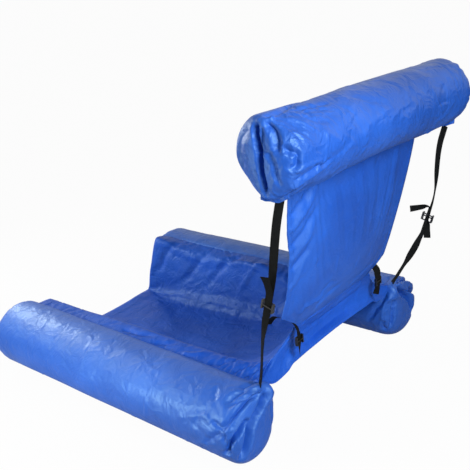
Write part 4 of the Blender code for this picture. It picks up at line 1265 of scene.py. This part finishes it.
def stitching(thread):
    """Geometry Nodes that lay a stitch at every step along the edges of a mesh.

    Real stitches are 3 mm long, in thread 0.3 mm thick. They are drawn 4.2 mm long and 0.8 mm
    thick, so that they show.
    """
    tree = bpy.data.node_groups.new("stitching", "GeometryNodeTree")
    tree.interface.new_socket("Lines", in_out="INPUT", socket_type="NodeSocketGeometry")
    for label in ("Step", "Stitch Length", "Thread Thickness"):
        tree.interface.new_socket(label, in_out="INPUT", socket_type="NodeSocketFloat")
    tree.interface.new_socket("Stitches", in_out="OUTPUT", socket_type="NodeSocketGeometry")
    entry = add_node(tree, "NodeGroupInput").outputs
    lines = add_node(tree, "GeometryNodeMeshToCurve", {"Mesh": entry["Lines"]})
    steps = add_node(
        tree,
        "GeometryNodeResampleCurve",
        {"Curve": lines.outputs["Curve"], "Length": entry["Step"]},
        mode="LENGTH",
    )
    size = add_node(
        tree,
        "ShaderNodeCombineXYZ",
        {"X": entry["Stitch Length"], "Y": entry["Thread Thickness"], "Z": entry["Thread Thickness"]},
    )
    bead = add_node(tree, "GeometryNodeMeshIcoSphere", {"Radius": 0.5, "Subdivisions": 1})
    shape = {"Geometry": bead.outputs["Mesh"], "Scale": size.outputs[0]}
    stitch = add_node(tree, "GeometryNodeTransform", shape)
    heading = add_node(tree, "GeometryNodeInputTangent")
    turned = add_node(tree, "FunctionNodeAlignRotationToVector", {"Vector": heading.outputs[0]}, axis="X")
    placed = add_node(
        tree,
        "GeometryNodeInstanceOnPoints",
        {
            "Points": steps.outputs["Curve"],
            "Instance": stitch.outputs["Geometry"],
            "Rotation": turned.outputs[0],
        },
    )
    real = add_node(tree, "GeometryNodeRealizeInstances", {"Geometry": placed.outputs["Instances"]})
    coloured = add_node(
        tree, "GeometryNodeSetMaterial", {"Geometry": real.outputs["Geometry"], "Material": thread}
    )
    add_node(tree, "NodeGroupOutput", {"Stitches": coloured.outputs["Geometry"]})
    return tree


def sew(name, lines, tree, body, thread):
    """Stitches along lines of points, as one mesh."""
    verts, edges = [], []
    for line in lines:
        first = len(verts)
        verts += [tuple(point) for point in line]
        edges += [(first + i, first + i + 1) for i in range(len(line) - 1)]
    mesh = bpy.data.meshes.new(name)
    mesh.from_pydata(verts, edges, [])
    obj = bpy.data.objects.new(name, mesh)
    bpy.context.collection.objects.link(obj)
    nodes = obj.modifiers.new("stitches", "NODES")
    nodes.node_group = tree
    for socket in tree.interface.items_tree:
        if socket.in_out == "INPUT" and socket.name in STITCH_SIZES:
            nodes[socket.identifier] = STITCH_SIZES[socket.name]
    bake_modifiers(obj)
    return finish(obj, body, thread)


def hem_lines(grid, rows=(), columns=(), lift=0.0020):
    """Lines of points just above a sheet on both its sides, along the given rows and columns."""
    normal = grid_normals(grid)
    lines = []
    for side in (lift, -lift):
        raised = grid + normal * side
        lines += [raised[row] for row in rows] + [raised[:, column] for column in columns]
    return lines


def look_at_camera():
    """The camera, with the photograph's place, turn, pitch and roll."""
    data = bpy.data.cameras.new("view")
    data.lens = CAMERA_LENS
    data.sensor_width = CAMERA_SENSOR
    data.sensor_fit = "HORIZONTAL"
    ahead = Vector(
        (
            math.sin(CAMERA_YAW) * math.cos(CAMERA_PITCH),
            math.cos(CAMERA_YAW) * math.cos(CAMERA_PITCH),
            -math.sin(CAMERA_PITCH),
        )
    )
    level = ahead.cross(Vector((0, 0, 1))).normalized()
    over = level.cross(ahead)
    c, s = math.cos(CAMERA_ROLL), math.sin(CAMERA_ROLL)
    right = level * c + over * s
    up = over * c - level * s
    turn = Matrix((right, up, -ahead)).transposed().to_4x4()
    camera = bpy.data.objects.new("view", data)
    camera.matrix_world = Matrix.Translation(CAMERA_PLACE) @ turn
    bpy.context.collection.objects.link(camera)
    bpy.context.scene.camera = camera


# Soft lamps: place, aim, width and power
SOFTBOXES = {
    "key_box": ((0.65, 1.75, 1.45), (0.1, 0.1, 0.30), 0.6, 30.0),
    "low_box": ((1.40, -0.30, 0.42), (0.3, 0.0, 0.2), 0.4, 9.0),
    "end_box": ((0.75, 1.65, 0.25), (0.2, 0.4, 0.20), 0.5, 5.0),
    "seat_box": ((0.20, -1.50, 0.85), (0.0, -0.1, 0.05), 0.5, 10.0),
    "front_box": ((1.30, -1.60, 1.30), (0.38, -0.1, 0.1), 0.45, 8.0),
    "rear_box": ((-1.05, 1.40, 1.25), (0.1, 0.55, 0.75), 0.45, 0.6),
}
WORLD_LIGHT = 0.03
FLOOR_GLOW_SHARE = 0.97
FLOOR_REACH = 180
FLOOR_DROP = 0.0005
WHITE = (1.0, 1.0, 1.0, 1.0)


def add_softbox(name, place, aim, size, power):
    """A square soft lamp that faces a point."""
    data = bpy.data.lights.new(name, "AREA")
    data.size = size
    data.energy = power
    lamp = bpy.data.objects.new(name, data)
    lamp.location = place
    lamp.rotation_euler = (Vector(aim) - Vector(place)).to_track_quat("-Z", "Y").to_euler()
    lamp.visible_camera = False
    bpy.context.collection.objects.link(lamp)


def add_surroundings():
    """A world that looks white to the camera, and in gloss, and lights the chair only faintly."""
    world = bpy.data.worlds.new("studio")
    world.use_nodes = True
    bpy.context.scene.world = world
    tree = world.node_tree
    tree.nodes.clear()
    ray = add_node(tree, "ShaderNodeLightPath")
    seen = ray.outputs["Is Camera Ray"]
    for kind in ("Is Glossy Ray", "Is Transmission Ray"):
        either = {0: seen, 1: ray.outputs[kind]}
        seen = add_node(tree, "ShaderNodeMath", either, operation="MAXIMUM").outputs[0]
    level = add_node(tree, "ShaderNodeMapRange", {"Value": seen, "To Min": WORLD_LIGHT, "To Max": 1.0})
    sky = add_node(tree, "ShaderNodeBackground", {"Color": WHITE, "Strength": level.outputs["Result"]})
    add_node(tree, "ShaderNodeOutputWorld", {"Surface": sky.outputs[0]})


def add_floor():
    """A pale floor that looks nearly white to the camera and keeps some of the chair's shadow."""
    corners = [(x * FLOOR_REACH, y * FLOOR_REACH, 0) for x, y in ((-1, -1), (1, -1), (1, 1), (-1, 1))]
    floor = mesh_object("floor", corners, [(0, 1, 2, 3)])
    material = bpy.data.materials.new("pale_floor")
    material.use_nodes = True
    tree = material.node_tree
    tree.nodes.clear()
    ray = add_node(tree, "ShaderNodeLightPath").outputs["Is Camera Ray"]
    share = add_node(tree, "ShaderNodeMath", {0: ray, 1: FLOOR_GLOW_SHARE}, operation="MULTIPLY")
    matt = add_node(tree, "ShaderNodeBsdfDiffuse", {"Color": linear("#c4c4c4")})
    glow = add_node(tree, "ShaderNodeEmission", {"Color": WHITE, "Strength": 1.0})
    inputs = {0: share.outputs[0], 1: matt.outputs[0], 2: glow.outputs[0]}
    mixed = add_node(tree, "ShaderNodeMixShader", inputs)
    add_node(tree, "ShaderNodeOutputMaterial", {"Surface": mixed.outputs[0]})
    floor.data.materials.append(material)
    floor.location.z = -FLOOR_DROP


# Side straps: where each swings and hangs, its buckle's middle, how far it bows back, its
# twist in degrees by share of its length, the twist of the lower tail, and how far the upper
# length reaches below the buckle's middle
SIDE_STRAPS = {
    "left": {
        "swing": (0.3400, 0.41404, 0.20429),
        "hang": (0.38291, 0.55619, 0.70867),
        "buckle": (0.3640, 0.48583, 0.45900),
        "slack": 0.0,
        "turns": (
            (0.0, 36), (0.16, 36), (0.32, 30), (0.42, 3), (0.50, 0), (0.58, 0), (0.65, -9),
            (0.80, -34), (1.1, -38),
        ),
        "tail_turn": -16,
        "overlap": 0.030,
    },
    "right": {
        "swing": (-0.3400, 0.41404, 0.20486),
        "hang": (-0.37464, 0.56677, 0.68486),
        "buckle": (-0.3640, 0.52548, 0.43634),
        "slack": 0.036,
        "turns": (
            (0.0, 50), (0.14, 50), (0.27, -10), (0.37, 36), (0.52, 46), (0.66, 56), (0.80, 26),
            (1.1, 12),
        ),
        "tail_turn": 0,
        "overlap": 0.066,
    },
}
STRAP_WIDTH = 0.020
STRAP_THICKNESS = 0.0014
STRAP_LAYER = 0.00105
BUCKLE_SHARE = 0.505
STRAIGHT_BELOW = 0.060
STRAIGHT_ABOVE = 0.045
LOWER_BEYOND = 0.030
LOWER_STEPS = 90
UPPER_STEPS = 80
UPPER_TAIL_FROM = 0.004
UPPER_TAIL_FALL = (0.004, 0.021, -0.003)
UPPER_TAIL_TURN = -30
TAB_REACH = 0.034

# Corner straps: middles from front to back, as on the chair's left, and twists in degrees
CORNER_ROUTES = {
    "left": (
        (0.204, 0.3440, 0.2965), (0.203, 0.3580, 0.3150), (0.202, 0.372, 0.3250), (0.202, 0.394, 0.3262),
        (0.202, 0.420, 0.3238), (0.202, 0.4360, 0.3165), (0.202, 0.4425, 0.3030), (0.202, 0.4446, 0.2760),
        (0.2015, 0.4440, 0.2560), (0.201, 0.4415, 0.2370),
    ),
    "right": (
        (0.202, 0.3680, 0.3010), (0.202, 0.398, 0.3190), (0.202, 0.429, 0.3222), (0.202, 0.4430, 0.3080),
        (0.202, 0.4446, 0.2760), (0.198, 0.4440, 0.2560), (0.190, 0.4425, 0.2370),
    ),
}
CORNER_TWIST_SHARES = (0, 0.50, 0.79, 1)
CORNER_TWISTS = {"left": (-28, -36, -6, -40), "right": (38, 42, 8, 34)}
CORNER_STEPS = 60


def strap_line(strap):
    """A side strap's start, its direction, its buckle's place along it, and its length."""
    swing = np.array(strap["swing"])
    line = np.array(strap["hang"]) - swing
    line[0] = 0.0
    length = np.linalg.norm(line)
    return swing, line / length, length * BUCKLE_SHARE, length


def strap_middle(strap, s):
    """Middle of a side strap's webbing at lengths along it, from its swing to its hang."""
    swing, along, middle, length = strap_line(strap)
    across = np.array([0.0, along[2], -along[1]])
    below, above = middle - STRAIGHT_BELOW, middle + STRAIGHT_ABOVE
    rising = ease((length - s) / (length - above))
    share = np.where(s < below, ease(s / below), np.where(s > above, rising, 1.0))
    x = np.where(s < middle, swing[0], strap["hang"][0])
    x = x + (strap["buckle"][0] - x) * share
    bow = np.where(s < below, np.clip(s / below, 0, 1) ** 0.8, share)
    spots = swing + along * s[:, None] + across * (strap["slack"] * bow)[:, None]
    spots[:, 0] = x
    return spots


def outward_rows(spots):
    """Directions along a row of points, and those square to them that point most to the left."""
    ahead = unit(np.gradient(spots, axis=0))
    return ahead, unit(np.array([1.0, 0.0, 0.0]) - ahead * ahead[:, :1])


def strap_piece(name, spots, turns, layer, body, material, node):
    """One length of webbing beside its neighbour in the buckle; a turn of 0 lies flat to the side."""
    ahead, out = outward_rows(spots)
    flat = np.cross(ahead, out)
    turns = np.radians(turns)[:, None]
    wide = (flat * np.cos(turns) + out * np.sin(turns)) * STRAP_WIDTH / 2
    facing = flat * -np.sin(turns) + out * np.cos(turns)
    piece = ribbon(name, spots + facing * layer, wide, STRAP_THICKNESS)
    return finish(piece, body, material, [node])


def tail_route(side, start, along):
    """Points of a lower strap's free end beyond its buckle."""
    t = np.linspace(0, 1, 40)[1:]
    if side == "left":
        lean = np.array([0.026, -0.006, 0.0])
        return start + along * (0.065 * t)[:, None] + lean * (t**1.4)[:, None]
    ahead = np.array([0.66, -0.72, -0.05])
    rise = 0.012 * np.sin(np.clip(t * 2.4, 0, 1) * math.pi / 2)
    out = 0.058 * ease(t * 0.9 + 0.02) + 0.008 * t
    return start + along * rise[:, None] + ahead * out[:, None]


def add_side_strap(side, strap, webbing):
    """The lower length of a side strap with its free tail, and the upper length."""
    _, along, middle, length = strap_line(strap)
    shares, knots = np.array(strap["turns"]).T
    shares, knots = shares * length, knots[:, None]
    s = np.linspace(-0.006, middle + LOWER_BEYOND, LOWER_STEPS)
    spots = strap_middle(strap, s)
    low = strap_middle(strap, np.array([0.0]))[0]
    spots[s < 0] = low + along * s[s < 0][:, None]
    turns = pchip(shares, knots, np.clip(s, 0, None))[:, 0]
    tail = tail_route(side, spots[-1], along)
    turns = np.concatenate([turns, np.linspace(turns[-1], strap["tail_turn"], len(tail))])
    spots = np.concatenate([spots, tail])
    strap_piece(
        side + "_lower_webbing", spots, turns, STRAP_LAYER, side + "_lower", webbing, side + "_lower_strap"
    )
    end = middle - strap["overlap"]
    s = np.linspace(end, length, UPPER_STEPS)
    spots = strap_middle(strap, s)
    turns = pchip(shares, knots, s)[:, 0]
    if side == "right":
        below = np.clip((middle - UPPER_TAIL_FROM - s) / (middle - UPPER_TAIL_FROM - end), 0, 1)
        spots += np.array(UPPER_TAIL_FALL) * (below**1.3)[:, None]
        turns = turns + (UPPER_TAIL_TURN - turns) * ease(below * 2.0)
    top = spots[-1] + along * np.linspace(0.004, TAB_REACH, 9)[:, None]
    turns = np.concatenate([turns, np.full(len(top), turns[-1])])
    spots = np.concatenate([spots, top])
    strap_piece(
        side + "_upper_webbing", spots, turns, -STRAP_LAYER, side + "_upper", webbing, side + "_upper_strap"
    )


def add_corner_strap(side, sign, webbing):
    """The short strap that passes over the crest at one corner of the seat."""
    route = np.array(CORNER_ROUTES[side]) * np.array([sign, 1.0, 1.0])
    run = run_lengths(route)
    spots = pchip(run, route, np.linspace(0, run[-1], CORNER_STEPS))
    shares = np.linspace(0, 1, CORNER_STEPS)
    twist = np.radians(np.interp(shares, CORNER_TWIST_SHARES, CORNER_TWISTS[side]))[:, None]
    ahead, wide = outward_rows(spots)
    over = np.cross(ahead, wide)
    wide = (wide * np.cos(twist) + over * np.sin(twist)) * STRAP_WIDTH / 2
    piece = ribbon(side + "_corner_webbing", spots, wide, STRAP_THICKNESS)
    finish(piece, "base", webbing, [side + "_corner_strap"])


def paint(node, material):
    """Give a node's own mesh a material."""
    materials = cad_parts[node].data.materials
    materials.clear()
    materials.append(material)


def add_straps(webbing, plastic):
    """Side straps, corner straps and the finish of their slide buckles."""
    for side, strap in SIDE_STRAPS.items():
        add_side_strap(side, strap, webbing)
        paint(side + "_side_buckle", plastic)
    for side, sign in (("left", 1.0), ("right", -1.0)):
        add_corner_strap(side, sign, webbing)
        paint(side + "_corner_buckle", plastic)


# Tabs below the head cover: how far each hangs and flares
TAB_DROP = {"left": 0.0125, "right": 0.0100}
TAB_FLARE = {"left": 0.008, "right": 0.0}
TAB_ROWS = 22
TAB_COLUMNS = 34
TAB_HALF = 0.038
TAB_THICKNESS = 0.0032


def add_tabs(material):
    """The soft cloth tabs below the head cover that the side straps are sewn into."""
    grids = []
    u = np.linspace(-1, 1, TAB_COLUMNS)[None, :]
    t = np.linspace(0, 1, TAB_ROWS)[:, None]
    for side, sign in (("left", 1.0), ("right", -1.0)):
        low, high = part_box(side + "_head_tab")
        x = (low.x + high.x) / 2
        top = high.z + 0.014
        y = (low.y + high.y) / 2 + (TAB_HALF - 0.004 * t) * u
        skirt = TAB_DROP[side] * (1 - 0.85 * ease((u - 0.25) / 0.75)) * (1 - 0.25 * ease((-u - 0.6) / 0.4))
        z = top + (high.z - 0.004 - skirt - top) * t
        bulge = 0.0022 * np.sin(4.2 * u + 0.6) * t + 0.0012 * np.sin(9.0 * u + 1.7) * t
        out = sign * (0.004 + TAB_FLARE[side] * ease((0.4 - u) / 1.4) * t)
        grid = np.stack(np.broadcast_arrays(x + bulge + out, y, z), axis=-1)
        hem = np.where(t > 0.82, 0.0012, 0.0)
        thickness = np.broadcast_to(TAB_THICKNESS + hem, (TAB_ROWS, TAB_COLUMNS))
        tab = sheet_object(side + "_tab_cloth", grid, thickness)
        finish(tab, "backrest", material, [side + "_head_tab"])
        grids.append(grid)
    return grids


# Nylon finishes: hex colours from deep to light, crinkle and gloss
NYLONS = {
    "coated_nylon_taffeta": ("#1d4fae", "#2257bb", "#2a61c8", 0.45, 0.75),
    "coated_nylon_slack": ("#1c4daa", "#2055b8", "#285fc6", 0.75, 0.58),
    "coated_nylon_stretched": ("#1a4db4", "#1e56c2", "#265fce", 0.45, 0.25),
    "coated_nylon_draped": ("#1a4db0", "#1e55bc", "#265fc8", 0.22, 0.55),
}

# Arm tubes: side, sign along X, and the seed of the cover's small folds
ARM_SIDES = (("left", 1.0, 5), ("right", -1.0, 25))
HEAD_SEED = 70


def add_covers(nylon, slack_nylon, film):
    """The covers and bladders of the arm tubes and the head tube; the head's tube and cover."""
    for side, sign, seed in ARM_SIDES:
        place = (sign * ARM_X, ARM_MIDDLE_Y, ARM_AXIS_Z)
        tube = Tube(place, (0, -1, 0), (0, 0, 1), ARM_RADIUS, ARM_LENGTH, ARM_GATHERED, sign)
        shape = arm_shape(tube, seed)
        creases = cover_creases(tube, ARM_PUCKERS, ARM_SMALL_FOLDS, seed)
        cover = add_cover(side + "_arm", tube, shape, creases, "base", nylon, film)
    lean = Matrix.Rotation(HEAD_YAW, 3, "Z") @ Matrix.Rotation(-HEAD_ROLL, 3, "Y")
    along, up = lean @ Vector((-1, 0, 0)), lean @ Vector((0, 0, 1))
    head = Tube(HEAD_CENTRE, along, up, HEAD_RADIUS, HEAD_LENGTH, HEAD_GATHERED)
    shape = head_shape(head, HEAD_SEED)
    creases = cover_creases(head, HEAD_PUCKERS, HEAD_SMALL_FOLDS, HEAD_SEED)
    cover = add_cover("head", head, shape, creases, "backrest", slack_nylon, film)
    return head, cover


def dress():
    """Make every piece."""
    look_at_camera()
    for name, lamp in SOFTBOXES.items():
        add_softbox(name, *lamp)
    add_surroundings()
    add_floor()
    nylon, loose, tight, draped = (coated_nylon(name, *values) for name, values in NYLONS.items())
    film = moulded_plastic("clear_vinyl_film", "#b9c6d2", 0.25)
    webbing = webbing_material()
    black = moulded_plastic("black_acetal", "#121314", 0.38)
    white = moulded_plastic("white_vinyl", "#d9d9d4", 0.40)
    head, cover = add_covers(nylon, loose, film)
    sling, seat_grid = add_sling(tight)
    panel, panel_grid = add_panel(head, cover, seat_grid, draped)
    tab_grids = add_tabs(loose)
    thread = thread_material()
    tree = stitching(thread)
    lines = hem_lines(seat_grid, (SLING_HEM - 1, -SLING_HEM), (SEAM_COLUMN, -SEAM_COLUMN - 1))
    sew("base_stitches", lines, tree, "base", thread)
    lines = hem_lines(panel_grid, (PANEL_HEM - 1,), (PANEL_HEM - 1, -PANEL_HEM))
    for grid in tab_grids:
        lines += hem_lines(grid, (-TAB_HEM,), lift=TAB_THICKNESS)
    sew("backrest_stitches", lines, tree, "backrest", thread)
    add_straps(webbing, black)
    for name in ("left_arm", "right_arm", "head"):
        paint(name + "_valve", white)
        paint(name + "_plug", white)


dress()
bpy.context.scene.view_settings.view_transform = "Standard"
